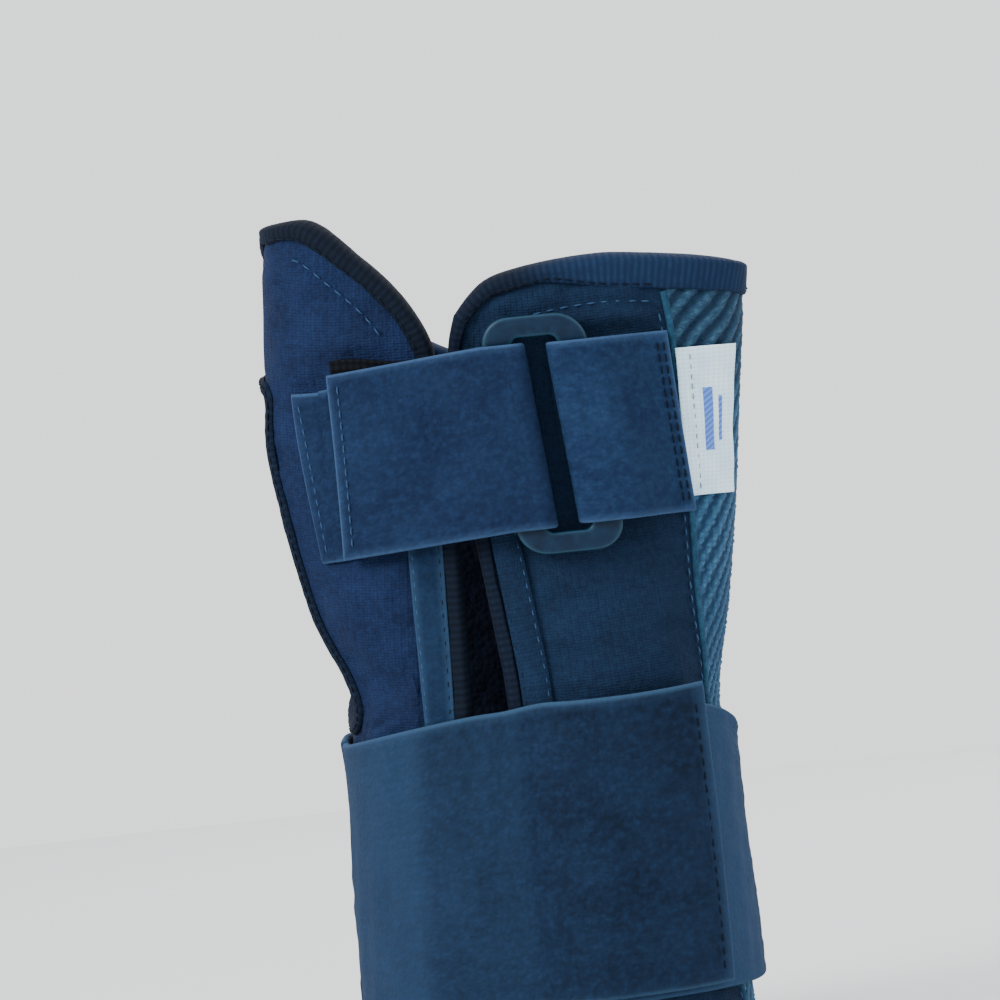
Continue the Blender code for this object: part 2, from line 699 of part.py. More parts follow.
def hand_strap():
    bar_left = RING_CENTRE[0] - RING_SIZE[0] / 2
    slot_left = RING_CENTRE[0] - RING_SLOT[0] / 2
    half = WEBBING_THICK / 2
    base = even([front(-36.5, 118.8), front(-32.6, 91.5)], 4)
    inner = [front(STRAP_START_X - 0.3, z) for z in (118.8, 112, 105, 98, 91.5)]
    grid = [[tuple(a + (b - a) * i / 3 for a, b in zip(p, q)) for p, q in zip(base, inner)] for i in range(4)]
    sheet("hand_strap_base", grid, GAP, GAP + WEBBING_THICK, "webbing")
    run = straight(STRAP_START_X, bar_left - 1.3, 12, run_low, WEBBING_THICK)
    ribbon("hand_strap", run, WEBBING_THICK, "webbing", WEBBING_Z)
    ring_middle = sum(RING_OFFSETS) / 2
    radius = (RING_OFFSETS[1] - RING_OFFSETS[0]) / 2 + BAR_CLEAR + half
    bend_x = slot_left - 0.75
    turn = [(bar_left - 0.9, ring_middle - radius), (bar_left + 2.0, ring_middle - radius)]
    for i in range(9):
        a = -pi / 2 + pi * i / 8
        turn.append((bend_x + radius * cos(a), ring_middle + radius * sin(a)))
    turn.append((TAIL_START_X + 0.4, ring_middle + radius))
    ribbon("hand_strap_turn", turn, WEBBING_THICK, "webbing", WEBBING_Z)
    tail = straight(TAIL_END_X, TAIL_START_X, 14, tail_low, WEBBING_THICK)
    ribbon("hand_strap_tail", tail, WEBBING_THICK, "webbing", WEBBING_Z)
    hook = straight(-28.8, -14.0, 5, lambda x: run_low(x) + WEBBING_THICK + GAP, HOOK_THICK)
    ribbon("hand_strap_hook", hook, HOOK_THICK, "hook", (WEBBING_Z[0] + 1.5, WEBBING_Z[1] - 1.5), 2)


def rounded_loop(width, height, radius, count=4, between=3):
    """A rounded rectangle, with points along its long sides so that they can follow the hand."""
    made = []
    for k in range(4):
        cx = (width / 2 - radius) * (1 if k in (0, 3) else -1)
        cz = (height / 2 - radius) * (1 if k in (0, 1) else -1)
        for i in range(count):
            a = pi / 2 * (k + i / (count - 1))
            made.append((cx + radius * cos(a), cz + radius * sin(a)))
        if k in (1, 3):
            side, end = (made[-1][0], made[-1][1])
            made += [(side, end * (1 - 2 * i / (between + 1))) for i in range(1, between + 1)]
    return made


def ring():
    """A flat moulded ring with rounded corners and softened edges."""
    low, high = RING_OFFSETS
    ease = 0.5
    loops = []
    for grow, o in ((0, low + ease), (0, high - ease), (-ease, high)):
        loops.append((RING_SIZE[0] + 2 * grow, RING_SIZE[1] + 2 * grow, 4.6 + grow, o))
    for grow, o in ((ease, high), (0, high - ease), (0, low + ease), (ease, low)):
        loops.append((RING_SLOT[0] + 2 * grow, RING_SLOT[1] + 2 * grow, 1.2 + grow, o))
    loops.append((RING_SIZE[0] - 2 * ease, RING_SIZE[1] - 2 * ease, 4.6 - ease, low))
    rings = []
    for width, height, radius, o in loops:
        line = []
        for x, z in rounded_loop(width, height, radius):
            line.append(surface(*front(RING_CENTRE[0] + x - RING_TILT * z, RING_CENTRE[1] + z), o))
        rings.append(line)
    tube("strap_ring", rings, "plastic", closed=True)


def ring_anchor():
    """Webbing folded round the ring's other bar, its two ends sewn together at the seam."""
    thick = 1.0
    slot_right = RING_CENTRE[0] + RING_SLOT[0] / 2
    bar_right = RING_CENTRE[0] + RING_SIZE[0] / 2
    end = 28.4
    middle = sum(RING_OFFSETS) / 2
    radius = (RING_OFFSETS[1] - RING_OFFSETS[0]) / 2 + BAR_CLEAR + thick / 2
    bend_x = slot_right + 0.75
    route = []
    for x in (end, 26.0, 23.5, 20.5, 17.5, bar_right):
        share = smooth(26.0, bar_right, x)
        route.append((x, GAP + thick / 2 + (middle - radius - GAP - thick / 2) * share))
    for i in range(9):
        a = -pi / 2 - pi * i / 8
        route.append((bend_x + radius * cos(a), middle + radius * sin(a)))
    for x in (bar_right + 0.6, 17.5, 20.5, 23.5, 26.0, end):
        share = smooth(26.0, bar_right + 0.6, x)
        low = 2 * GAP + 1.5 * thick
        route.append((x, low + (middle + radius - low) * share))
    ribbon("ring_anchor_loop", route, thick, "webbing", (WEBBING_Z[0] + 0.3, WEBBING_Z[1] - 0.3))


def label():
    """A woven label sewn into the seam, lying on the mesh side."""
    grid = []
    for i in range(5):
        line = []
        for j in range(5):
            z = 95.0 + 25.0 * j / 4
            right = half_sizes(True, False, z)[0] - 1.7
            line.append(front(30.0 + (right - 30.0) * i / 4, z))
        grid.append(line)
    sheet("sewn_label", grid, GAP, GAP + 0.4, "label")


def build():
    clear_scene()
    radial_flap()
    ulnar_flap()
    palm_side()
    palm_stay()
    stay_pocket()
    wrist_strap()
    hand_strap()
    ring()
    ring_anchor()
    label()


build()
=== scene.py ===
"""Looks of the wrist splint: padded cloth, mesh, tapes, webbing, ring, label and stitches.

Lengths are millimetres of the straight sleeve, which bent() bends back at the wrist and turns
into metres. A place on the cloth is an angle phi round the arm (0 on the back of the hand,
positive towards the little finger), a height s along it and an offset o out of it."""
from math import cos, pi, radians, sin

import bmesh
import bpy
import numpy as np
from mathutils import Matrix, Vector
from mathutils.kdtree import KDTree


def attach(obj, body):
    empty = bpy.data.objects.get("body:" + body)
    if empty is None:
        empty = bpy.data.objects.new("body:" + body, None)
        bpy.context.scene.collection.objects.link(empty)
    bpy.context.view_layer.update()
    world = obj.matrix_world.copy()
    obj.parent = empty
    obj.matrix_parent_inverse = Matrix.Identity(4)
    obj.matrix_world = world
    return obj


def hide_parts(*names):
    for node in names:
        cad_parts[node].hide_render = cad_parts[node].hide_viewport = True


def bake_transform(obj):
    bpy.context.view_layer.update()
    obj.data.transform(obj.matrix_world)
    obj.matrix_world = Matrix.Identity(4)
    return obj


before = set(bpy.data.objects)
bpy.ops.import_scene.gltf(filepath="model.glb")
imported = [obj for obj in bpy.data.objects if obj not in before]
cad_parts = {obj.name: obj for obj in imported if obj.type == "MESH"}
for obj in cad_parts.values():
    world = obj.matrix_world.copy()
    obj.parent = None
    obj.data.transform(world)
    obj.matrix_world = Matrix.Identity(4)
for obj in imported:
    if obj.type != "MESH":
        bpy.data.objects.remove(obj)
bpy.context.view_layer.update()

MM = 0.001
TURN = 2 * pi

# ---- sizes, as in the frame

# The sleeve: how far it reaches to each side and to the back at some heights, its palm's depth
# and top edge, how square its oval is, and the planes of its two folds.
BEND_RADIUS = 532.0
WIDTH_ULNAR = ((0, 32.6), (12, 31.8), (60, 31.1), (78, 34.5), (94, 37.1), (112, 39.3), (134, 42.0),
               (152, 42.8))
WIDTH_RADIAL = ((0, 32.6), (30, 31.8), (62, 31.6), (81, 37.0), (95, 39.8), (112, 41.2), (124, 40.4),
                (152, 37.4))
DEPTH_BACK = ((0, 29), (30, 28.2), (60, 25.6), (80, 22.4), (100, 19.8), (120, 17.9), (140, 16.9),
              (160, 16.6))
PALM_TOP = ((88, 134.4), (105, 132.2), (125, 127.0), (147, 121.3), (172, 118.6), (197, 119.2),
            (218, 124.2), (236, 132.6), (254, 142.6), (272, 148.6))
DEPTH_PALM = 21.0
POWER_BACK = 2.3
POWER_PALM = 3.2
ORIGIN = (0.680, -5.894)
FOLD_Y = 0.5
FOLD_LEAN = -0.1418

# The cloths: heights of their edges, the mesh's seam on the palm, and offsets of their inner and
# outer faces.
HEM = 0.95
HOLE_BOTTOM = 62.4
HOLE_TOP = 121.5
WEB_TOP = 148.6
ULNAR_TOP = 134.4
PALM_SEAM = radians(125)
HOLE_REACH = radians(47)
SHELL_BACK = -1.4
LINING = (-3.6, -2.4)
MESH_BACK = -3.6
SEAM_DIP = 0.3

# How far from the edges the channels and the stitch rows run.
CHANNEL_SPAN = (1.75, 6.9)
CHANNEL_ROWS = {"light": 6.3, "dark": 2.4}
TOP_ROW = {"radial": 5.2, "ulnar": 6.8}
HEM_TAPE = 4.5

LINING_NAMES = {"radial": "radial_flap_and_palm_lining", "ulnar": "ulnar_flap_inner_lining"}

# The wide strap, from its sewn start under the outer band to the band's end.
STRAP_LOW = 1.3
STRAP_THICK = 1.6
STRAP_S = (13.5, 65.6)
STRAP_MIDDLE = 40.0
STRAP_END_X = 24.5
STRAP_LEAN = 0.07
ANCHOR_START_X = 8.0
HOOK_THICK = 0.8
HOOK_X = (9.5, 23.4)
GAP = 0.3

# The hand strap, the ring and the webbing loop that holds it.
WEBBING_THICK = 1.2
WEBBING_Z = (92.1, 123.3)
RING_CENTRE = (6.6, 107.75)
RING_SIZE = (17.0, 40.0)
RING_SLOT = (7.2, 32.8)
RING_OFFSETS = (3.2, 5.4)
RING_TILT = 0.0815
BAR_CLEAR = 0.5
BAR_HALF = (RING_OFFSETS[1] - RING_OFFSETS[0]) / 2 + BAR_CLEAR
STRAP_START_X = -30.7
STRAP_SLANT = 0.08
TAIL_END_X = -28.3

# The palm stay and its pocket.
STAY_Y = (22.5, 24.1)
STAY_S = (16.5, 109.0)
STAY_HALF = (12.0, 15.5)
POCKET_Y = (24.4, 25.3)
POCKET_S = (8.0, 110.5)


def smooth(low, high, value):
    """0 below one value and 1 beyond the other, with a smooth change between them."""
    t = np.clip((np.asarray(value, float) - low) / (high - low), 0, 1)
    return t * t * (3 - 2 * t)


def by_degrees(low, high, angle):
    """The same for an angle in radians and limits in degrees."""
    return smooth(radians(low), radians(high), angle)


def mixed(a, b, share):
    """From a at 0 to b at 1."""
    return a + (b - a) * share


def bell(value, width):
    """1 at 0, falling to a third at a width to either side and on towards 0."""
    return np.exp(-(value / width) ** 2)


def pairs(phi, s):
    """Angles and heights as one array of (phi, s)."""
    return np.stack(np.broadcast_arrays(phi, s), -1)


def curve(knots):
    """A smooth curve through (height, size) knots, as a function of height."""
    at, size = (np.array(column, float) for column in zip(*knots))
    slope = np.empty_like(size)
    slope[1:-1] = (size[2:] - size[:-2]) / (at[2:] - at[:-2])
    slope[0] = (size[1] - size[0]) / (at[1] - at[0])
    slope[-1] = (size[-1] - size[-2]) / (at[-1] - at[-2])

    def read(s):
        k = np.clip(np.searchsorted(at, s, side="right") - 1, 0, len(at) - 2)
        span = at[k + 1] - at[k]
        t = (s - at[k]) / span
        past = np.maximum(t - 1, 0) * span * slope[k + 1]
        t = np.minimum(t, 1)
        bend = (t - 1) ** 2 * t * slope[k] + (t - 1) * t * t * slope[k + 1]
        return size[k] + (size[k + 1] - size[k]) * t * t * (3 - 2 * t) + bend * span + past

    return read


width_ulnar, width_radial = curve(WIDTH_ULNAR), curve(WIDTH_RADIAL)
depth_back, palm_top_at = curve(DEPTH_BACK), curve(PALM_TOP)


def bent(x, y, s):
    """The place of a straight sleeve's point on the sleeve as it bends back, in metres."""
    x, y, s = np.broadcast_arrays(x, y, s)
    turn, reach = s / BEND_RADIUS, BEND_RADIUS + y
    back = reach * np.cos(turn) - BEND_RADIUS
    return np.stack([x - ORIGIN[0], back - ORIGIN[1], reach * np.sin(turn)], -1) * MM


def surface(phi, s, o=0.0):
    """The place of an angle, a height and an offset out of the sleeve's wall, in metres."""
    phi, s, o = np.broadcast_arrays(np.asarray(phi, float), s, o)
    across, back = np.sin(phi), -np.cos(phi)
    width = np.where(across > 0, width_ulnar(s), width_radial(s))
    depth = np.where(back > 0, DEPTH_PALM, depth_back(s))
    power = np.where(back > 0, POWER_PALM, POWER_BACK)
    reach = ((abs(across) / width) ** power + (abs(back) / depth) ** power) ** (-1 / power)
    x, y = reach * across, reach * back
    nx = np.sign(x) * (abs(x) / width) ** (power - 1) / width
    ny = np.sign(y) * (abs(y) / depth) ** (power - 1) / depth
    size = np.hypot(nx, ny)
    return bent(x + o * nx / size, y + o * ny / size, s)


def front(x, z):
    """The (phi, s) of the sleeve's back where a viewer facing it sees x and height z."""
    x, z = np.broadcast_arrays(np.asarray(x, float), np.asarray(z, float))
    s = z.copy()
    for _ in range(6):
        width = np.where(x > 0, width_ulnar(s), width_radial(s))
        share = np.minimum(0.9995, abs(x) / width)
        y = -depth_back(s) * (1 - share ** POWER_BACK) ** (1 / POWER_BACK)
        s = BEND_RADIUS * np.arcsin(z / (BEND_RADIUS + y))
    return pairs(np.arctan2(x, -y), s)


def seen(*places):
    """The (phi, s) of places on the back, given as the (x, height) that a viewer facing it sees."""
    return front(*zip(*places))


def under(x, z, o):
    """The (phi, s) on the back under a place at an offset that a viewer facing it sees at x, z."""
    return front(x, z + 0.85 * o * z / BEND_RADIUS)


def lie(x, z, o):
    """A place lifted off the sleeve's back that a viewer facing it still sees near x and z."""
    phi, s = np.moveaxis(under(x, z, o), -1, 0)
    return surface(phi, s, o)


def fold(side, s):
    """The angle where a side's fold plane (+1 ulnar, -1 radial) cuts the wall at height s."""
    turn = np.asarray(s, float) / BEND_RADIUS
    y = (BEND_RADIUS + FOLD_Y) / (np.cos(turn) - FOLD_LEAN * np.sin(turn)) - BEND_RADIUS
    width = width_ulnar(s) if side > 0 else width_radial(s)
    return side * np.arccos(-y / width)


_ANGLES = np.linspace(-TURN, TURN, 2881)
_STEPS = np.linalg.norm(np.diff(surface(_ANGLES, 80.0), axis=0), axis=1) / MM
_GIRTH = np.concatenate([[0], np.cumsum(_STEPS)])


def girth(phi):
    """The length of cloth round the arm, in millimetres, up to an angle."""
    return np.interp(phi, _ANGLES, _GIRTH)


# ---- paths, grids and edges

def run_of(points):
    """How many millimetres along a line each of its points is."""
    steps = np.linalg.norm(np.diff(points, axis=0), axis=-1) / MM
    return np.concatenate([[0], np.cumsum(steps)])


def cloth_run(path):
    """The same for a (phi, s) path along the cloth."""
    return run_of(surface(*path.T))


def along(path, run, at):
    """The points of a path at some of its runs."""
    return np.stack([np.interp(at, run, column) for column in path.T], -1)


def even(points, count):
    """Spreads count + 1 points evenly along a smooth curve through (phi, s) points."""
    points = np.array(points, float)
    last = len(points) - 1
    t = (np.arange(12) / 12)[:, None]
    fine = []
    for i in range(last):
        a, b, c, d = (points[k] for k in (max(i - 1, 0), i, i + 1, min(i + 2, last)))
        fine.append(0.5 * (2 * b + (c - a) * t + (2 * a - 5 * b + 4 * c - d) * t * t
                           + (3 * b - a - 3 * c + d) * t ** 3))
    fine = np.vstack(fine + [points[-1:]])
    run = cloth_run(fine)
    return along(fine, run, np.linspace(0, run[-1], count + 1))


def spaced(path, step, closed=False):
    """A path resampled to even steps, in millimetres along the cloth."""
    path = np.array(path, float)
    if closed:
        path = np.vstack([path, path[:1]])
    run = cloth_run(path)
    count = max(2, int(round(run[-1] / step)))
    made = along(path, run, np.linspace(0, run[-1], count + 1))
    return made[:-1] if closed else made


def patch(left, right, bottom, top):
    """A grid of (phi, s) between four edges; left and right run upwards, the others rightwards."""
    u = np.linspace(0, 1, len(bottom))[:, None, None]
    v = np.linspace(0, 1, len(left))[None, :, None]
    sides = (1 - u) * left[None] + u * right[None] + (1 - v) * bottom[:, None] + v * top[:, None]
    corners = ((1 - u) * (1 - v) * left[0] + u * (1 - v) * right[0]
               + (1 - u) * v * left[-1] + u * v * right[-1])
    return sides - corners


def fold_line(side, low, high, count):
    """A path up a side's fold."""
    s = np.linspace(low, high, count + 1)
    return pairs(fold(side, s), s)


def level(start, end, count, s=HEM):
    """A path round the sleeve at one height."""
    return pairs(np.linspace(start, end, count + 1), s)


def inward(path, side, closed=False):
    """How phi and s change per millimetre, square to a path and along the cloth."""
    phi, s = path.T
    step = 0.01
    by_phi = (surface(phi + step, s) - surface(phi - step, s)) / (2 * step * MM)
    by_s = (surface(phi, s + step) - surface(phi, s - step)) / (2 * step * MM)
    places = surface(phi, s)
    if closed:
        heading = np.roll(places, -1, 0) - np.roll(places, 1, 0)
    else:
        heading = np.gradient(places, axis=0)
    heading /= np.linalg.norm(heading, axis=1)[:, None]
    normal = np.cross(by_phi, by_s)
    normal /= np.linalg.norm(normal, axis=1)[:, None]
    aim = np.cross(normal, heading) * side

    def dot(a, b):
        return (a * b).sum(1)
    pp, ps, ss = dot(by_phi, by_phi), dot(by_phi, by_s), dot(by_s, by_s)
    ap, as_ = dot(aim, by_phi), dot(aim, by_s)
    return pairs(ap * ss - as_ * ps, as_ * pp - ap * ps) / (pp * ss - ps * ps)[:, None]


def beside(path, side, distance, closed=False):
    """A path moved sideways along the cloth."""
    return path + inward(path, side, closed) * distance


def above(path, s):
    """The part of a path above a height."""
    return path[path[:, 1] > s]


# The edges of the cloths. Their places are drawn on a front view: x, and height above the floor.

def gap_edge_radial():
    drawn = seen((-13.0, 6.4), (-12.7, 35), (-12.1, 64.2), (-11.6, 81), (-11.3, 92), (-11.6, 106),
                 (-12.4, 123.4))
    return np.vstack([(front(-13.0, HEM)[0], HEM), drawn])


def top_edge_radial():
    drawn = seen((-34.0, 146.3), (-30.8, 145.4), (-27.7, 143.2), (-24.0, 139.7), (-19.8, 135.7),
                 (-16.7, 132.0), (-14.6, 128.7), (-13.1, 125.6), (-12.4, 123.4))
    return np.vstack([fold_line(-1, WEB_TOP, WEB_TOP, 0), drawn])


def hole_edge_back():
    drawn = seen((-30.6, 63.0), (-30.4, 66.0), (-31.8, 71.0), (-35.6, 80.0), (-38.0, 91),
                 (-39.6, 101), (-40.5, 109), (-40.0, 118))
    low, high = (fold_line(-1, s, s, 0) for s in (HOLE_BOTTOM, HOLE_TOP))
    return np.vstack([low, drawn, high])


def hole_edge_palm(count):
    """The thumb hole's edge on the palm side, from its lowest point to its highest."""
    turn = np.linspace(0, pi, count + 1)
    rise = np.sign(np.cos(turn)) * abs(np.cos(turn)) ** 0.55
    s = (HOLE_BOTTOM + HOLE_TOP) / 2 - (HOLE_TOP - HOLE_BOTTOM) / 2 * rise
    return pairs(fold(-1, s) - HOLE_REACH * np.sin(turn) + TURN, s)


def gap_edge_ulnar():
    drawn = seen((-3.0, 6.4), (-3.5, 35), (-4.2, 63.6), (-5.0, 74), (-6.0, 84), (-7.0, 94),
                 (-7.6, 108), (-8.2, 121.5), (-6.7, 127.9))
    return np.vstack([(front(-3.0, HEM)[0], HEM), drawn])


def top_edge_ulnar():
    return seen((-6.7, 127.9), (-3.8, 131.0), (-0.2, 133.3), (8.0, 134.8), (18.2, 135.4), (27.0, 134.7))


def seam_ulnar():
    """The seam between the little finger's flap and the mesh, kept just inside the outline."""
    x, z = np.array([(29.4, 14), (29.3, 40), (28.7, 62), (28.8, 77), (29.1, 95), (28.6, 122),
                     (27.0, 134.7)]).T
    start = front(0.965 * width_ulnar(HEM), HEM)[0], HEM
    return np.vstack([start, front(np.minimum(x, 0.985 * width_ulnar(z)), z)])


def mesh_top():
    return np.vstack([seen((27.0, 134.7), (35.0, 133.8)), fold_line(1, ULNAR_TOP, ULNAR_TOP, 0)])


def palm_top(phi):
    """The height of the palm panel's top edge."""
    return palm_top_at(np.degrees(phi))


PALM_BEND = (radians(105), palm_top(radians(105)))


def palm_top_line(start, end, count):
    """A path along the palm panel's top edge."""
    phi = np.linspace(start, end, count + 1)
    return pairs(phi, palm_top(phi))


# ---- small unevenness

def ripple(u, v, size, seed):
    """Smooth unevenness between about -1 and 1, with bumps of a given size."""
    draw = np.random.default_rng(seed)
    total = np.zeros(np.broadcast(u, v).shape)
    for _ in range(7):
        turn, shift = draw.uniform(0, TURN, 2)
        rate = TURN / size * draw.uniform(0.6, 1.5)
        total += np.sin(rate * (np.cos(turn) * u + np.sin(turn) * v) + shift)
    return total / 3.2


def near(points, targets):
    """How far each point is from the nearest of the targets, in millimetres."""
    tree = KDTree(len(targets))
    for i, target in enumerate(targets):
        tree.insert(target, i)
    tree.balance()
    return np.array([tree.find(p)[2] for p in points]) / MM


# ---- meshes

def make(name, points, faces, corners, look_name, sharp=50, edge=None, shade=None):
    """An object from points, faces and each face's cloth coordinates, in millimetres. Its looks can use
    two numbers at each point: edge, for worn or raised places and, on the ring, a painted highlight,
    and shade, a second tone, which on the wide strap is painted sheen."""
    mesh = bpy.data.meshes.new(name)
    mesh.from_pydata([tuple(p) for p in points], [], faces)
    cloth = mesh.uv_layers.new(name="cloth")
    flat = np.array([c for face in corners for c in face], np.float32) * 0.01
    cloth.data.foreach_set("uv", flat.ravel())
    for kind, values in (("edge", edge), ("shade", shade)):
        if values is not None:
            layer = mesh.attributes.new(kind, "FLOAT", "POINT")
            layer.data.foreach_set("value", np.asarray(values, np.float32))
    work = bmesh.new()
    work.from_mesh(mesh)
    bmesh.ops.remove_doubles(work, verts=work.verts, dist=2e-6)
    bmesh.ops.recalc_face_normals(work, faces=work.faces)
    work.to_mesh(mesh)
    work.free()
    mesh.shade_smooth()
    mesh.set_sharp_from_angle(angle=radians(sharp))
    mesh.materials.append(LOOKS[look_name])
    obj = bpy.data.objects.new(name, mesh)
    bpy.context.scene.collection.objects.link(obj)
    return obj


def closed_piece(name, low, high, faces, corners, rim, places, look_name, edge=None, shade=None):
    """A closed piece from two layers of points with the same faces, joined round their rim."""
    count = len(low)
    walls = [[a, b, b + count, a + count] for a, b in rim]
    wall_corners = [[places[k] for k in (a, b, b, a)] for a, b in rim]
    faces = [f[::-1] for f in faces] + [[k + count for k in f] for f in faces] + walls
    corners = [c[::-1] for c in corners] + corners + wall_corners
    edge, shade = (None if x is None else np.tile(np.ravel(x), 2) for x in (edge, shade))
    return make(name, np.vstack([low, high]), faces, corners, look_name, edge=edge, shade=shade)


def closed_grid(name, low, high, u, v, look_name, worn, shade=None):
    """A closed piece between two equal grids of points, with u and v as its cloth coordinates."""
    ids = np.arange(u.size).reshape(u.shape)
    faces = np.stack([ids[:-1, :-1], ids[1:, :-1], ids[1:, 1:], ids[:-1, 1:]], -1)
    faces = faces.reshape(-1, 4).tolist()
    places = pairs(u.ravel(), v.ravel()).tolist()
    corners = [[places[k] for k in face] for face in faces]
    loop = np.concatenate([ids[:, 0], ids[-1, 1:], ids[-2::-1, -1], ids[0, -2:0:-1]]).tolist()
    rim = list(zip(loop, loop[1:] + loop[:1]))
    low, high = low.reshape(-1, 3), high.reshape(-1, 3)
    return closed_piece(name, low, high, faces, corners, rim, places, look_name, worn, shade)


KEY_SHIFT = 0.000137   # keeps heights of few decimals off the edge between two rounded values


class Sheet:
    """One sheet of cloth from several (phi, s) grids that share edge points."""

    def __init__(self, *grids):
        index, places, self.faces, self.corners = {}, [], [], []
        used = set()
        for grid in grids:
            ids = np.empty(grid.shape[:2], int)
            for i, line in enumerate(grid):
                for j, (phi, s) in enumerate(line):
                    key = (round(phi % TURN, 5), round(s + KEY_SHIFT, 3))
                    if key not in index:
                        index[key] = len(places)
                        places.append((phi, s))
                    ids[i, j] = index[key]
            u, v = girth(grid[..., 0]), grid[..., 1]
            for i in range(ids.shape[0] - 1):
                for j in range(ids.shape[1] - 1):
                    square = ((i, j), (i + 1, j), (i + 1, j + 1), (i, j + 1))
                    face = [ids[c] for c in square]
                    if len(set(face)) == 4:
                        self.faces.append(face)
                        self.corners.append([(u[c], v[c]) for c in square])
                        used.update(zip(face, face[1:] + face[:1]))
        self.phi, self.s = np.array(places).T
        self.cloth = girth(self.phi), self.s
        self.rim = [edge for edge in used if edge[::-1] not in used]
        self.flat = surface(self.phi, self.s)
        self.from_rim = near(self.flat, self.flat[[a for a, _ in self.rim]])
        self.push = np.zeros_like(self.flat)

    def piece(self, name, low, high, look_name, edge=None, shade=None):
        """A closed piece between two offsets; what the simulation moved is added to the outside."""
        inner = surface(self.phi, self.s, low)
        outer = surface(self.phi, self.s, high) + self.push
        places = pairs(*self.cloth).tolist()
        return closed_piece(name, inner, outer, self.faces, self.corners, self.rim, places,
                            look_name, edge, shade)


def swell(sheet, offset, pinned, cap):
    """Blows a padded sheet up between its seams with a short cloth simulation, at ten times
    its size, and keeps how far each point moved, up to a cap in millimetres."""
    scale = 10.0
    rest = surface(sheet.phi, sheet.s, offset) * scale
    mesh = bpy.data.meshes.new("swelling")
    mesh.from_pydata([tuple(p) for p in rest], [], sheet.faces)
    obj = bpy.data.objects.new("swelling", mesh)
    bpy.context.scene.collection.objects.link(obj)
    seams = obj.vertex_groups.new(name="seams")
    seams.add([int(i) for i in np.flatnonzero(pinned)], 1.0, "REPLACE")
    cloth = obj.modifiers.new("Cloth", "CLOTH")
    cloth.settings.quality = 5
    cloth.settings.mass = 0.2
    cloth.settings.bending_stiffness = 0.4
    cloth.settings.use_pressure = True
    cloth.settings.uniform_pressure_force = 2.2
    cloth.settings.vertex_group_mass = "seams"
    cloth.settings.shrink_min = cloth.settings.shrink_max = -0.03
    cloth.settings.effector_weights.gravity = 0
    scene = bpy.context.scene
    for step in range(1, 21):
        scene.frame_set(step)
    done = obj.evaluated_get(bpy.context.evaluated_depsgraph_get()).to_mesh()
    moved = np.empty(len(rest) * 3)
    done.vertices.foreach_get("co", moved)
    shift = (moved.reshape(-1, 3) - rest) / scale
    size = np.linalg.norm(shift, axis=1)[:, None]
    sheet.push = shift * np.minimum(1, cap * MM / np.maximum(size, 1e-9))
    scene.frame_set(1)
    bpy.data.objects.remove(obj)


def skin(count, size, closed=False):
    """The faces over rings of points, as (ring, place) pairs that may run one past the last."""
    spans = range(count if closed else count - 1)
    faces = [[(i, j), (i, j + 1), (i + 1, j + 1), (i + 1, j)] for i in spans for j in range(size)]
    if not closed:
        faces += [[(i, j) for j in range(size)] for i in (0, count - 1)]
    return faces


def swept(path, aim, outlines):
    """A ring of points at each place of a path, from outlines of (distance along aim, offset)."""
    return [surface(*(place[:, None] + step[:, None] * d), o)
            for place, step, (d, o) in zip(path, aim, outlines)]


def tube(name, rings, run, look_name, closed=False, edge=None, shade=None):
    """A closed skin through rings of points, with its length as one cloth coordinate."""
    rings = np.asarray(rings)
    count, size = rings.shape[:2]
    around = run_of(np.vstack([rings[0], rings[0][:1]]))
    run = np.append(run, 2 * run[-1] - run[-2])
    cells = skin(count, size, closed)
    faces = [[i % count * size + j % size for i, j in face] for face in cells]
    corners = [[(run[i], around[j]) for i, j in face] for face in cells]
    edge = None if edge is None else np.tile(edge, count)
    shade = None if shade is None else np.repeat(shade, size)
    return make(name, rings.reshape(-1, 3), faces, corners, look_name, edge=edge, shade=shade)


def tape_outline(width, puff):
    """The distances in from the edge and the offsets of the outline of a tape folded over it: its
    outer side, its rounded nose, its inner side and the side that lies on the cloth."""
    bevel, rim = max(width - 0.5, width * 0.75), width - 0.12
    outside = [(width, 0.18), (rim, 0.62 + puff), (bevel, 0.86 + puff), (width * 0.6, 0.84 + puff),
               (width * 0.3, 0.92 + puff)]
    turn = np.linspace(pi / 2, -pi / 2, 11)
    nose = [(0.1 - 1.05 * cos(a), -1.8 + (2.75 + puff) * sin(a)) for a in turn]
    inside = [(width * 0.3, -4.5), (width * 0.6, -4.42), (bevel, -4.42), (rim, -4.2), (width, -3.78)]
    cloth_side = [(width * 0.5, -3.72), (-0.3, -3.7), (-0.3, 0.12), (width * 0.5, 0.14)]
    return np.array(outside + nose + inside + cloth_side).T


def tape(name, path, side, width, shade, closed=False, seed=1):
    """A tape folded over an edge. Its width and its shade, from navy at 0 to black at 1, are
    functions of phi."""
    path = spaced(path, 0.9, closed)
    step = inward(path, side, closed) if side else np.tile([0.0, 1.0], (len(path), 1))
    run = cloth_run(np.vstack([path, path[:1]]) if closed else path)
    at = run[:len(path)]
    wide = width(path[:, 0]) + 0.16 * ripple(at, 0, 9, seed)
    puff = 0.07 * ripple(at, 3, 3.2, seed + 1)
    rings = swept(path, step, map(tape_outline, wide, puff))
    tone = np.broadcast_to(shade(path[:, 0]), len(path))
    return tube(name, rings, run, "binding", closed, shade=tone)


def rounding(d, r):
    """1 away from an edge, falling to 0 at it along a quarter circle of radius r."""
    return np.sqrt(np.maximum(0, 1 - (1 - np.minimum(d / r, 1)) ** 2))


def marks(length, r, step):
    """Places along a length, close together where its two ends are rounded."""
    ends = r * np.array([0, 0.04, 0.15, 0.4, 0.7, 1.0])
    count = max(2, int(round((length - 2 * r) / step)))
    middle = np.linspace(r, length - r, count + 1)
    return np.concatenate([ends[:-1], middle, length - ends[:-1][::-1]]) / length


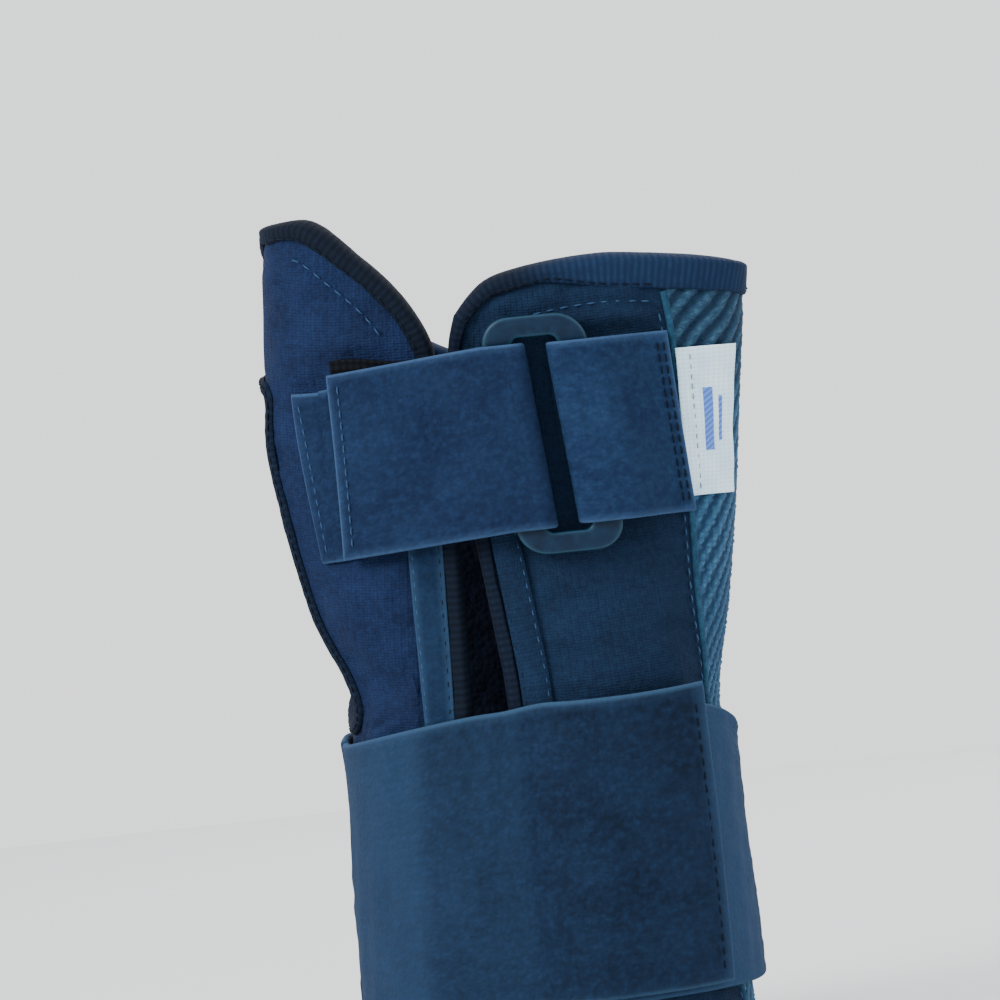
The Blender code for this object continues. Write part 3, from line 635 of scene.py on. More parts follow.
def flat_grid(length, width, thick, steps, open_ends):
    """The grid of a flat band: shares t of its length and w of its width, how far in each point
    is from its long sides and from its ends, and half its thickness, less at rounded edges. An
    open end is left square."""
    r = thick / 2
    t, w = np.meshgrid(marks(length, r, steps[0]), marks(width, r, steps[1]), indexing="ij")
    side = np.minimum(w, 1 - w) * width
    ends = (np.where(square, np.inf, share * length) for square, share in zip(open_ends, (t, 1 - t)))
    end = np.minimum(*ends)
    return t, w, side, end, r * rounding(side, r) * rounding(end, r)


def band(name, place, length, width, thick, look_name, seed=1, open_ends=(False, False), step=0.9,
         selvedge=0.10, wave=0.10, shade=None, rub=0.55):
    """A flat woven band. place(t, w) gives (phi, s, middle offset) for shares of its length and
    width; its edges are rounded and have a selvedge."""
    t, w, side, end, half = flat_grid(length, width, thick, (step, 1.0), open_ends)
    phi, s, middle = place(t, w)
    u, v = t * length, w * width
    lift = selvedge * (bell(side - 1.3, 0.7) - bell(side - 2.5, 0.4))
    lift += wave * (ripple(u, v, 6.0, seed) + 0.4 * ripple(u, v, 2.2, seed + 5))
    inside = smooth(0, 1.2, side) * smooth(0, 1.2, u) * smooth(0, 1.2, (1 - t) * length)
    low, high = surface(phi, s, middle - half), surface(phi, s, middle + half + lift * inside)
    worn = bell(np.minimum(side, end), rub)
    tone = shade(phi, (1 - t) * length) if shade else None
    return closed_grid(name, low, high, u, v, look_name, worn, tone)


# ---- stitches

class Thread:
    """Stitches of one thread on one body, gathered into one piece."""

    def __init__(self):
        self.points, self.faces, self.corners = [], [], []

    def row(self, path, offset, pitch=2.3, length=1.55, radius=0.17, side=0, distance=0.0,
            closed=False):
        """Stitches along a (phi, s) path, or beside it, lying on the cloth at an offset."""
        if distance:
            path = spaced(path, 0.5, closed)
            distance = distance(path[:, :1]) if callable(distance) else distance
            path = beside(path, side, distance, closed)
        path = spaced(path, 0.25, closed)
        run = cloth_run(path)
        count = int(run[-1] / pitch)
        spare = (run[-1] - (count - 1) * pitch - length) / 2
        share = np.array([-1, -0.82, -0.4, 0.4, 0.82, 1.0])
        height = offset + radius * (0.55 - 1.1 * share ** 2)
        for k in range(count):
            phi, s = along(path, run, spare + k * pitch + length / 2 + share * length / 2).T
            self.stitch(surface(phi, s, height), surface(phi, s, height + 1.0), radius, share)

    def stitch(self, middle, above, radius, share):
        """One stitch: a short round thread that dips into the cloth at both ends."""
        up = above - middle
        up /= np.linalg.norm(up, axis=1)[:, None]
        ahead = np.gradient(middle, axis=0)
        ahead /= np.linalg.norm(ahead, axis=1)[:, None]
        across = np.cross(ahead, up)
        girths = radius * MM * np.sqrt(np.maximum(0.03, 1 - share ** 2 * 0.97))
        turns = np.linspace(0, TURN, 7)[:-1]
        start = len(self.points)
        for m, u, a, g in zip(middle, up, across, girths):
            self.points += [m + (a * np.cos(q) + u * np.sin(q)) * g for q in turns]
        cells = skin(len(middle), 6)
        self.faces += [[start + i * 6 + j % 6 for i, j in face] for face in cells]
        self.corners += cells

    def piece(self, name, look_name):
        return make(name, self.points, self.faces, self.corners, look_name, sharp=80)


def sew(name, look_name, *rows):
    """One piece of stitches, from rows of (path, offset, what else Thread.row takes)."""
    thread = Thread()
    for path, offset, more in rows:
        thread.row(path, offset, **more)
    return thread.piece(name, look_name)


# ---- materials

def rgb(code, depth=0.45):
    """Linear colour from a six-digit sRGB code, deepened to allow for the bright studio light."""
    parts = [int(code[i:i + 2], 16) / 255 for i in (0, 2, 4)]
    linear = [c / 12.92 if c <= 0.04045 else ((c + 0.055) / 1.055) ** 2.4 for c in parts]
    return tuple(depth * c ** 1.12 for c in linear) + (1.0,)


class Shader:
    """Short words for the nodes of one procedural material."""

    def __init__(self, name):
        self.material = bpy.data.materials.new(name)
        self.material.use_nodes = True
        self.tree = self.material.node_tree
        self.shader = self.tree.nodes["Principled BSDF"]
        place = self.node("ShaderNodeUVMap", uv_map="cloth").outputs[0]
        self.cloth = self.math("MULTIPLY", place, (100, 100, 100), kind="ShaderNodeVectorMath")
        self.bumps = None

    def node(self, kind, **settings):
        made = self.tree.nodes.new(kind)
        for key, value in settings.items():
            setattr(made, key, value)
        return made

    def plug(self, socket, value):
        if isinstance(value, bpy.types.NodeSocket):
            self.tree.links.new(value, socket)
        else:
            socket.default_value = value

    def math(self, operation, *values, kind="ShaderNodeMath"):
        made = self.node(kind, operation=operation)
        for socket, value in zip(made.inputs, values):
            self.plug(socket, value)
        return made.outputs[0]

    def scaled(self, x, y, turn=0.0):
        """Cloth coordinates in units of x by y millimetres, turned by an angle."""
        made = self.node("ShaderNodeMapping")
        self.plug(made.inputs["Vector"], self.cloth)
        made.inputs["Rotation"].default_value = (0, 0, turn)
        made.inputs["Scale"].default_value = (1 / x, 1 / y, 1)
        return made.outputs[0]

    def texture(self, kind, vector, scale=1.0, **inputs):
        made = self.node("ShaderNodeTex" + kind)
        self.plug(made.inputs["Vector"], vector)
        made.inputs["Scale"].default_value = scale
        for name, value in inputs.items():
            made.inputs[name].default_value = value
        return made.outputs

    def noise(self, size, detail=3.0, rough=0.55, vector=None):
        """Soft spots of a size in millimetres."""
        vector = self.scaled(size, size) if vector is None else vector
        return self.texture("Noise", vector, Detail=detail, Roughness=rough)[0]

    def cells(self, x, y, random=0.5, turn=0.0):
        """The distance from the middle of each cell of x by y millimetres."""
        return self.texture("Voronoi", self.scaled(x, y, turn), Randomness=random)["Distance"]

    def ribs(self, pitch, turn=0.0, bend=0.0):
        """Bands across one cloth direction, between 0 and 1."""
        vector = self.scaled(pitch * pi, pitch * pi, turn)
        return self.texture("Wave", vector, 0.5, Distortion=bend)["Fac"]

    def spread(self, value, low, high, to_low=0.0, to_high=1.0):
        made = self.node("ShaderNodeMapRange")
        for socket, number in zip(made.inputs[:5], (value, low, high, to_low, to_high)):
            self.plug(socket, number)
        return made.outputs[0]

    def blend(self, share, a, b):
        made = self.node("ShaderNodeMix", data_type="RGBA")
        self.plug(made.inputs["Factor"], share)
        self.plug(made.inputs[6], a)
        self.plug(made.inputs[7], b)
        return made.outputs[2]

    def tint(self, colour, mask, strength, code, depth=0.45):
        """Another colour where a mask is high."""
        return self.blend(self.math("MULTIPLY", mask, strength), colour, rgb(code, depth))

    def marked(self, name):
        """The number that make() gave each point: edge or shade."""
        return self.node("ShaderNodeAttribute", attribute_name=name).outputs["Fac"]

    def bump(self, height, depth, sunk=False):
        """Adds a relief whose full height is depth millimetres, or sinks it."""
        made = self.node("ShaderNodeBump")
        made.inputs["Distance"].default_value = depth * MM
        made.inputs["Strength"].default_value = 1.0
        self.plug(made.inputs["Height"], self.math("MULTIPLY", height, -1.0) if sunk else height)
        if self.bumps:
            self.plug(made.inputs["Normal"], self.bumps)
        self.bumps = made.outputs[0]

    def done(self, colour, rough, sheen=0.0, sheen_tint=None, sheen_rough=0.4, metallic=0.0,
             specular=0.5):
        for name, value in (("Base Color", colour), ("Roughness", rough), ("Metallic", metallic),
                            ("Specular IOR Level", specular), ("Sheen Weight", sheen),
                            ("Sheen Roughness", sheen_rough), ("Sheen Tint", sheen_tint),
                            ("Normal", self.bumps)):
            if value is not None:
                self.plug(self.shader.inputs[name], value)
        return self.material


def knit_look(name, dark, middle, light):
    """Close knit over foam: rows of small loops, mottled and a little worn."""
    m = Shader(name)
    loops = m.cells(0.62, 0.5, 0.35)
    wales = m.ribs(0.62)
    tone = m.spread(m.noise(7.0), 0.3, 0.7)
    fleck = m.spread(m.noise(1.1, 4.0, 0.7), 0.35, 0.75)
    colour = m.blend(tone, rgb(dark), rgb(middle))
    colour = m.tint(colour, fleck, 0.55, light)
    colour = m.tint(colour, m.spread(loops, 0.25, 0.75), 0.55, dark)
    m.bump(loops, 0.16, sunk=True)
    m.bump(wales, 0.05)
    m.bump(m.noise(2.6, 2.0), 0.12)
    return m.done(colour, m.spread(fleck, 0, 1, 0.78, 0.95), 0.06, rgb("4f78b0"), specular=0.08)


def loop_look(name, dark, middle, light, edge_light):
    """Brushed loop face of strap webbing: short pile, mottled, paler along the selvedges, and paler
    where the shade number is high, which on the wide strap is painted sheen."""
    m = Shader(name)
    pile = m.noise(0.55, 5.0, 0.75)
    tufts = m.cells(0.8, 0.8, 1.0)
    weft = m.ribs(0.9, pi / 2, 1.2)
    tone = m.spread(m.noise(12.0, 2.0), 0.35, 0.65)
    fleck = m.spread(m.noise(1.5, 4.0, 0.7), 0.4, 0.75)
    colour = m.blend(tone, rgb(dark), rgb(middle))
    colour = m.tint(colour, fleck, 0.55, light)
    colour = m.tint(colour, m.spread(tufts, 0.3, 0.9), 0.45, dark)
    colour = m.tint(colour, m.marked("edge"), 0.6, edge_light)
    # Painted sheen: where the shade number is high, as on the wide strap, the pile is painted paler.
    colour = m.tint(colour, m.marked("shade"), 0.8, "496a90")
    m.bump(pile, 0.22)
    m.bump(tufts, 0.14, sunk=True)
    m.bump(weft, 0.03)
    return m.done(colour, m.spread(fleck, 0, 1, 0.8, 0.97), 0.08, rgb("5b86bd"), 0.5, specular=0.08)


def tape_look(name):
    """Grosgrain edge tape: fine ribs across it, rubbed paler on their tops, navy or black."""
    m = Shader(name)
    ribs = m.ribs(0.6, 0.0, 0.4)
    fleck = m.spread(m.noise(1.4, 3.0, 0.6), 0.35, 0.75)
    rubbed = m.math("MULTIPLY", ribs, m.math("ADD", m.math("MULTIPLY", fleck, 0.5), 0.1))
    navy = m.blend(rubbed, rgb("23395a"), rgb("3c587e"))
    black = m.blend(rubbed, rgb("141e2e"), rgb("2a394f"))
    m.bump(ribs, 0.04)
    m.bump(m.noise(0.5), 0.05)
    return m.done(m.blend(m.marked("shade"), navy, black), m.spread(fleck, 0, 1, 0.75, 0.92),
                  0.02, rgb("4c6486"), specular=0.07)


MESH_PITCH = 2.7
MESH_TURN = radians(49)


def mesh_look(name):
    """Knitted spacer mesh: pale diagonal ribs with dark holes between them. Its edge number is
    the height of a rib, and its shade is high near the top, where the mesh is darker."""
    m = Shader(name)
    threads = m.cells(0.55, 0.4, 0.6, MESH_TURN)
    fleck = m.noise(1.2, 4.0, 0.7)
    tone = m.spread(m.noise(14.0, 2.0), 0.3, 0.7)
    crest = m.blend(tone, rgb("457fab"), rgb("5f9cc6"))
    crest = m.blend(m.marked("shade"), crest, rgb("2c5676"))
    crest = m.tint(crest, m.spread(fleck, 0.4, 0.8), 0.5, "86bcd8")
    valley = m.blend(m.marked("shade"), rgb("1e4c72"), rgb("143a58"))
    colour = m.blend(m.spread(m.marked("edge"), 0.12, 0.8), valley, crest)
    colour = m.tint(colour, m.spread(threads, 0.3, 0.8), 0.5, "1c4968")
    m.bump(threads, 0.16, sunk=True)
    m.bump(m.noise(0.4), 0.06)
    return m.done(colour, m.spread(fleck, 0.3, 0.7, 0.6, 0.85), 0.05, rgb("8cb9d0"), specular=0.15)


def terry_look(name):
    """Short terry loops of the lining."""
    m = Shader(name)
    pile = m.cells(1.0, 1.0, 1.0)
    fine = m.noise(0.5, 4.0, 0.7)
    colour = m.blend(m.spread(m.noise(3.0, 4.0), 0.3, 0.7), rgb("151a24"), rgb("26304a"))
    colour = m.tint(colour, fine, 0.5, "333f58")
    m.bump(pile, 0.35, sunk=True)
    m.bump(fine, 0.15)
    return m.done(colour, m.spread(fine, 0.3, 0.7, 0.85, 1.0), 0.1, rgb("56657f"), specular=0.1)


def thread_look(name, dark, light):
    """Sewing thread with its twist."""
    m = Shader(name)
    twist = m.ribs(0.9, radians(35))
    m.bump(twist, 0.04)
    return m.done(m.tint(rgb(dark), twist, 0.6, light), m.spread(twist, 0, 1, 0.6, 0.8), specular=0.08)


def plastic_look(name):
    """Moulded nylon: slightly mottled and scuffed satin, with a painted highlight along the outer
    shoulders of its section.
    """
    m = Shader(name)
    haze = m.noise(3.0, 4.0, 0.6)
    scuff = m.spread(m.noise(1.0, 5.0, 0.8, m.scaled(0.7, 5.0, 0.5)), 0.62, 0.72)
    colour = m.blend(m.spread(haze, 0.35, 0.65), rgb("102c46"), rgb("183b58"))
    colour = m.tint(colour, scuff, 0.2, "43708a")
    # Painted highlight: paler where the edge number marks the section's outer shoulders.
    colour = m.tint(colour, m.marked("edge"), 0.5, "447188")
    m.bump(m.noise(0.35), 0.02)
    m.bump(scuff, 0.015, sunk=True)
    return m.done(colour, m.spread(haze, 0.3, 0.7, 0.34, 0.5), specular=0.13)


def label_look(name):
    """Woven satin: fine lines across and a faint grid of threads."""
    m = Shader(name)
    weft, warp = m.ribs(0.36, pi / 2), m.ribs(0.5)
    colour = m.blend(m.spread(m.noise(6.0), 0.3, 0.7), rgb("b9d6e6", 0.98), rgb("d6ebf5", 1.0))
    colour = m.tint(colour, m.math("MULTIPLY", weft, warp), 0.35, "8fb0c2", 0.95)
    m.bump(weft, 0.04)
    m.bump(warp, 0.02)
    return m.done(colour, m.spread(weft, 0, 1, 0.38, 0.55), 0.2)


def stripe_look(name):
    """The label's coloured satin stripes."""
    m = Shader(name)
    satin = m.ribs(0.42, radians(60))
    m.bump(satin, 0.05)
    colour = m.blend(satin, rgb("2f66c4", 0.75), rgb("5f93e6", 0.75))
    return m.done(colour, m.spread(satin, 0, 1, 0.35, 0.5), 0.2)


def metal_look(name, dark, light):
    """Brushed metal."""
    m = Shader(name)
    brushed = m.noise(1.0, 5.0, 0.7, m.scaled(0.25, 9.0))
    m.bump(brushed, 0.012)
    colour = m.blend(brushed, rgb(dark, 0.9), rgb(light, 0.9))
    return m.done(colour, m.spread(brushed, 0.3, 0.7, 0.28, 0.42), metallic=1.0)


def hook_look(name):
    """Hook tape: rows of small stiff hooks."""
    m = Shader(name)
    grid = m.cells(1.2, 1.2, 0.1)
    m.bump(grid, 0.2, sunk=True)
    return m.done(m.blend(m.spread(grid, 0.2, 0.6), rgb("131a26"), rgb("080b12")),
                  m.spread(grid, 0, 0.7, 0.6, 0.8), specular=0.06)


def floor_look():
    """Matt paper, very slightly mottled."""
    m = Shader("floor")
    tone = m.noise(60.0)
    colour = m.blend(tone, (0.64, 0.645, 0.65, 1), (0.68, 0.685, 0.69, 1))
    return m.done(colour, m.spread(tone, 0, 1, 0.75, 0.85))


LOOKS = {name: look(name, *colours) for name, look, *colours in (
    ("laminate", knit_look, "192645", "263961", "385180"),
    ("laminate_low", knit_look, "172b45", "213858", "345272"),
    ("channel", loop_look, "1c3350", "27405f", "34527a", "4a6a8c"),
    ("lining", terry_look),
    ("mesh", mesh_look),
    ("binding", tape_look),
    ("webbing", loop_look, "1d2f50", "283f62", "3a5580", "6488b4"),
    ("anchor", loop_look, "20365a", "2d486c", "43648e", "6488b4"),
    ("elastic", loop_look, "182a42", "233956", "37537a", "5c82a6"),
    ("seam_cord", loop_look, "2f5672", "3f6b8a", "5a8aa8", "6f9bb8"),
    ("hook", hook_look),
    ("plastic", plastic_look),
    ("steel", metal_look, "8d9094", "b9bcc0"),
    ("aluminium", metal_look, "a9abae", "d2d4d6"),
    ("label", label_look),
    ("stripe", stripe_look),
    ("light_thread", thread_look, "36547a", "5c7fa8"),
    ("dark_thread", thread_look, "121c2a", "22344c"),
    ("pale_thread", thread_look, "9fbccb", "dce8ee"),
)}

# ---- how pieces follow the bodies

# The middles of the two folds' axes, by side. settle() reads only the names, to tell a fold from a
# body.
FOLD_PLACE = {"radial": Vector((-39.93, 0.098, 44.4)) * MM, "ulnar": Vector((38.59, 0.651, 40.5)) * MM}


def across_fold(piece):
    """A piece that crosses a side's fold, from the palm side to that side's flap, keeps its place: its
    transform is baked into its points.
    """
    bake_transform(piece)


def settle(piece, follows, *nodes):
    """A piece rides on a body, or, if it crosses the fold of a side, "radial" or "ulnar", keeps its
    place; it replaces some nodes of the frame."""
    if follows in FOLD_PLACE:
        across_fold(piece)
    else:
        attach(piece, follows)
    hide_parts(*nodes)


# ---- thumb side and palm: one cloth

def upright(phi, low, high, rows):
    """A grid of straight columns, from a low to a high height at each angle."""
    share = np.linspace(0, 1, rows + 1)
    return pairs(phi[:, None], low + (high - low) * share)


def radial_grids(columns, palm_columns, tongue, rows):
    """The flap's grid and the palm panel's two, with the thumb hole between them."""
    below, beside_hole, above_hole = rows
    lower_fold = fold_line(-1, HEM, HOLE_BOTTOM, below)
    upper_fold = fold_line(-1, HOLE_TOP, WEB_TOP, above_hole)
    left = np.vstack([lower_fold[:-1], even(hole_edge_back(), beside_hole), upper_fold[1:]])
    right = even(gap_edge_radial(), len(left) - 1)
    hem = level(left[0, 0], right[0, 0], columns)
    flap = patch(left, right, hem, even(top_edge_radial(), columns))
    edge = hole_edge_palm(2 * tongue)
    flat = level(PALM_SEAM, edge[tongue, 0], palm_columns, edge[tongue, 1])[:-1]
    lower, upper = np.vstack([flat, edge[tongue::-1]]), np.vstack([flat, edge[tongue:]])
    low_part = upright(lower[:, 0], HEM, lower[:, 1:], below)
    high_part = upright(upper[:, 0], upper[:, 1:], palm_top(upper[:, :1]), above_hole)
    low_part[-1] = lower_fold + (TURN, 0)
    high_part[-1] = upper_fold + (TURN, 0)
    return flap, low_part, high_part


def seen_x(sheet):
    """The x of a sheet's points in millimetres of the front view."""
    return sheet.flat[:, 0] / MM + ORIGIN[0]


def box_mask(sheet, x_range, z_range):
    """1 on the part of the back that a viewer sees inside a box, fading out 2 mm round it."""
    inside = np.cos(sheet.phi) > 0
    for value, (low, high) in ((seen_x(sheet), x_range), (sheet.flat[:, 2] / MM, z_range)):
        inside = inside * smooth(low - 2.0, low, value) * smooth(high + 2.0, high, value)
    return inside


def pad(side, sheet, held, from_seam, crown, cap, seed, name, look_name):
    """The padded cloth and the lining of one side: its cloth swells between seams and edges, and
    lies flat where it is held."""
    u, v = sheet.cloth
    pinned = (held > 0.9) | (sheet.from_rim < 2.6) | (from_seam < 0.7)
    offset = (crown - SEAM_DIP * bell(from_seam, 1.0)) * (1 - held)
    swell(sheet, offset, pinned, cap)
    sheet.push *= (1 - held)[:, None]
    outer = sheet.piece(name + "_cloth", SHELL_BACK, offset, look_name)
    sheet.push[:] = 0
    quilt = 0.18 * ripple(u, v, 9, seed) * smooth(1.5, 6, sheet.from_rim)
    inner = sheet.piece(LINING_NAMES[side], LINING[0] - quilt, LINING[1], "lining")
    for obj in (outer, inner):
        across_fold(obj)
    return outer, inner


def thumb_side():
    """The thumb side's flap and the palm, one cloth round the thumb hole. It is held along its
    rim and gap, under the straps and over the palm stay."""
    sheet = Sheet(*radial_grids(34, 44, 14, (44, 44, 22)))
    gap, top = spaced(gap_edge_radial(), 0.8), spaced(top_edge_radial(), 0.8)
    from_gap = near(sheet.flat, surface(*gap.T))
    seams = [beside(top, -1, TOP_ROW["radial"]), beside(gap, 1, CHANNEL_SPAN[1] + 0.4)]
    from_seam = near(sheet.flat, surface(*np.vstack(seams).T))
    angle = np.degrees(sheet.phi % TURN)
    x = seen_x(sheet)
    palm = smooth(118, 128, angle) * smooth(275, 262, angle)
    held = np.maximum.reduce([
        smooth(2.4, 1.4, sheet.from_rim),
        smooth(8.6, 7.6, from_gap),
        (abs(x) < 20) * palm * (sheet.s < 113),
        box_mask(sheet, (-37.5, -30), (90, 120)),
        box_mask(sheet, (-30, 0), (90, 124)) * 0.5,
        0.8 * smooth(-36.5, -39.5, x) * smooth(112, 120, sheet.s),
    ])
    u, v = sheet.cloth
    crown = 0.75 * smooth(1.5, 9.0, sheet.from_rim)
    crown += 0.16 * ripple(u, v, 16, 3) + 0.06 * ripple(u, v, 5, 4)
    outer, inner = pad("radial", sheet, held, from_seam, crown, 0.55, 6, "radial_flap_and_palm",
                       "laminate")
    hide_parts("radial_flap_laminate", "palm_panel")
    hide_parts("radial_flap_lining", "palm_lining")


def little_finger_side():
    """The ulnar flap, held along its rim and gap and where the ring's loop is sewn on."""
    left, seam = even(gap_edge_ulnar(), 110), even(seam_ulnar(), 110)
    top, hem = even(top_edge_ulnar(), 34), level(left[0, 0], seam[0, 0], 34)
    sheet = Sheet(patch(left, seam, hem, top))
    gap, rim = spaced(gap_edge_ulnar(), 0.8), spaced(top_edge_ulnar(), 0.8)
    from_gap = near(sheet.flat, surface(*gap.T))
    from_seam = near(sheet.flat, surface(*beside(rim, -1, TOP_ROW["ulnar"]).T))
    held = np.maximum.reduce([
        smooth(2.4, 1.4, sheet.from_rim),
        smooth(8.6, 7.6, from_gap) * (sheet.s < 124),
        box_mask(sheet, (12, 32), (90, 124)) * 0.85,
    ])
    u, v = sheet.cloth
    crown = 0.7 * smooth(1.0, 8.0, sheet.from_rim)
    crown += 0.15 * ripple(u, v, 15, 13) + 0.05 * ripple(u, v, 5, 14)
    outer, inner = pad("ulnar", sheet, held, from_seam, crown, 0.5, 16, "ulnar_flap", "laminate_low")
    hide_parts("ulnar_flap_laminate")
    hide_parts("ulnar_flap_lining")


# ---- knitted mesh side

def welt(name, path):
    """The raised cord of a seam, from above the hem tape to below the top tape."""
    path = above(spaced(path, 0.9), 6.5)
    path = path[path[:, 1] < path[:, 1].max() - 5.0]
    run = cloth_run(path)
    turn = np.linspace(0, TURN, 11)[:-1]
    outlines = ((0.62 * np.cos(turn), 0.1 + (0.42 + 0.05 * sin(at * 2.7)) * np.sin(turn))
                for at in run)
    return tube(name, swept(path, inward(path, 1), outlines), run, "seam_cord")


def mesh_relief(sheet):
    """How far a point of the mesh stands out, from 0 to 1, and how far it lies in a hole: woven
    knots below, and above them slanting ribs of beads with holes between."""
    u, v = sheet.cloth
    across = -u * sin(MESH_TURN) + v * cos(MESH_TURN) + 0.18 * ripple(u, v, 11, 21)
    down = u * cos(MESH_TURN) + v * sin(MESH_TURN)
    rib = wave_of(across, MESH_PITCH)
    beads = wave_of(down, 1.7, half_steps(across, MESH_PITCH))
    knots = wave_of(u, 1.5) * wave_of(v, 1.3, half_steps(u, 1.5))
    ribbed = smooth(88, 116, v)
    relief = ribbed * rib ** 0.8 * (0.75 + 0.25 * beads) + (1 - ribbed) * (0.45 * rib + 0.55 * knots)
    return relief, (1 - rib) ** 3 * beads * (0.4 + 0.6 * ribbed)


def wave_of(value, pitch, shift=0.0):
    """A wave between 0 and 1."""
    return 0.5 + 0.5 * np.cos(value * TURN / pitch + shift)


def half_steps(value, pitch):
    """Half a turn more for each pitch, so that neighbouring rows are staggered."""
    return np.floor(value / pitch + 0.5) * pi


def mesh_side():
    """The knitted side panel, from the flap's seam round the fold to the palm's seam."""
    rows, front_columns, back_columns = 250, 22, 46
    seam, side = even(seam_ulnar(), rows), fold_line(1, HEM, ULNAR_TOP, rows)
    hem = level(seam[0, 0], side[0, 0], front_columns)
    front_part = patch(seam, side, hem, even(mesh_top(), front_columns))
    border = upright(np.array([PALM_SEAM]), HEM, palm_top(PALM_SEAM), rows)[0]
    back_top = even([side[-1], PALM_BEND, border[-1]], back_columns)
    hem = level(side[0, 0], PALM_SEAM, back_columns)
    sheet = Sheet(front_part, patch(side, border, hem, back_top))
    relief, hole = mesh_relief(sheet)
    offset = smooth(0.4, 2.0, sheet.from_rim) * (0.55 * relief - 0.5 * hole - 0.35)
    offset += 0.3 * smooth(2, 10, sheet.from_rim)
    outer = sheet.piece("ulnar_spacer_mesh", MESH_BACK, offset, "mesh",
                        edge=np.clip(relief - hole, 0, 1), shade=smooth(104, 120, sheet.s))
    across_fold(outer)
    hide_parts("ulnar_mesh_front", "ulnar_mesh_side")
    across_fold(welt("ulnar_seam_welt", even(seam_ulnar(), 60)))
    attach(welt("palm_seam_welt", border), "root")


# ---- edge tapes and channels

# How the edge tapes change along their way, by the angle round the arm.

def radial_width(phi):
    slim = by_degrees(236, 268, phi)
    return 4.4 - 2.4 * slim - 0.7 * by_degrees(325, 345, phi)


def ulnar_width(phi):
    return 1.4 + 0.7 * smooth(-0.3, 0.1, phi) + 2.6 * smooth(0.42, 0.95, phi)


def radial_shade(phi):
    return by_degrees(240, 285, phi)


def ulnar_shade(phi):
    return 0.9 - 0.9 * smooth(0.1, 0.8, phi)


def thumb_hole():
    """The whole edge of the thumb hole, as one closed path."""
    return np.vstack([even(hole_edge_back(), 90)[:-1], hole_edge_palm(90)[::-1][:-1] - (TURN, 0)])


def top_tapes():
    """One tape along each side's gap edge, its top and its half of the palm's top."""
    gap = above(even(gap_edge_radial(), 120), 5.2)
    palm = palm_top_line(pi, fold(-1, WEB_TOP) + TURN, 80)
    path = np.vstack([palm, even(top_edge_radial(), 60)[1:] + (TURN, 0), gap[::-1][1:] + (TURN, 0)])
    obj = tape("radial_edge_tape", path, -1, radial_width, radial_shade, seed=31)
    settle(obj, "radial", "radial_flap_edge_binding", "palm_top_binding")

    gap = above(even(gap_edge_ulnar(), 120), 5.2)
    top = np.vstack([even(top_edge_ulnar(), 60), even(mesh_top(), 20)[1:]])
    turned = [(PALM_SEAM, palm_top(PALM_SEAM)), PALM_BEND, (fold(1, ULNAR_TOP), ULNAR_TOP)]
    palm = np.vstack([palm_top_line(pi, PALM_SEAM, 40), even(turned, 30)[1:]])
    path = np.vstack([palm, top[::-1][1:], gap[::-1][1:]])
    obj = tape("ulnar_edge_tape", path, 1, ulnar_width, ulnar_shade, seed=33)
    settle(obj, "ulnar", "ulnar_flap_edge_binding", "palm_top_binding")


def lower_tapes():
    """The two tapes round the hem, and the thumb hole's tape."""
    sides = ("radial", gap_edge_radial(), -pi, 35), ("ulnar", gap_edge_ulnar(), pi, 37)
    for side, edge, palm, seed in sides:
        path = level(edge[0, 0], palm, 120)
        obj = tape(side + "_hem_tape", path, 0, lambda phi: HEM_TAPE, lambda phi: 0.6, seed=seed)
        settle(obj, side, side + "_flap_bottom_binding", "palm_bottom_binding")
    obj = tape("thumb_hole_tape", thumb_hole(), -1, lambda phi: 1.7, lambda phi: 0.8, closed=True,
               seed=39)
    settle(obj, "radial", "thumb_hole_binding_back", "thumb_hole_binding_palm")


def channel(name, path, side, node, look_name, seed):
    """The strip that holds a thin stay: raised over the stay and stitched down at both sides."""
    path = spaced(above(path, 6.2), 0.9)[3:-3]
    near_edge, width = CHANNEL_SPAN[0], CHANNEL_SPAN[1] - CHANNEL_SPAN[0]
    aim = inward(path, side)
    row = np.arange(len(path))

    def place(t, w):
        at = t * row[-1]
        step = along(aim, row, at) * (near_edge + width * w)[..., None]
        phi, s = np.moveaxis(along(path, row, at) + step, -1, 0)
        return phi, s, 0.55 + 0.5 * smooth(0.12, 0.32, w) * smooth(0.88, 0.68, w)
    obj = band(name, place, cloth_run(path)[-1], width, 0.7, look_name, seed, selvedge=0.03, wave=0.06)
    settle(obj, name.split("_")[0] + "_flap", node)


def channels():
    radial, ulnar = even(gap_edge_radial(), 120), even(gap_edge_ulnar(), 120)[:-6]
    channel("radial_channel_strip", radial, 1, "radial_stay_channel", "channel", 41)
    channel("ulnar_channel_strip", ulnar, -1, "ulnar_stay_channel", "laminate_low", 43)


# ---- wide wrist strap

# The wide strap's offset and its two edges' heights, by the angle round the arm.

def palm_lift(phi):
    """How far the strap stands off over the stay's pocket."""
    turn = np.minimum(phi % TURN, TURN - phi % TURN)
    return 3.7 * by_degrees(104, 136, turn)


def first_bottom(phi):
    return STRAP_S[0] - 1.5 + by_degrees(200, 270, phi)


def first_top(phi):
    drop, rise = by_degrees(45, 100, phi), by_degrees(200, 270, phi)
    return STRAP_S[1] - 2.1 - 8.5 * drop + 4.0 * rise


def over_top(phi):
    return STRAP_S[1] + 1.2 * smooth(-0.3, 0.1, phi) - 6.4 * by_degrees(15, 90, -phi)


def over_rise(phi):
    """The outer band's offset: on the flap at first, then over the sewn start and the hooks."""
    rise = 2 * GAP + STRAP_THICK + HOOK_THICK
    return STRAP_LOW + rise * smooth(on_back(-5.0), on_back(7.0), phi)


def on_back(x):
    """The angle of a place on the back, at the wide strap's middle height."""
    return front(x, STRAP_MIDDLE)[0]


def first_turn_painted_sheen(phi, _):
    """Painted sheen: paler from the sewn start round the ulnar side."""
    return 0.75 * smooth(1.75, 1.25, phi)


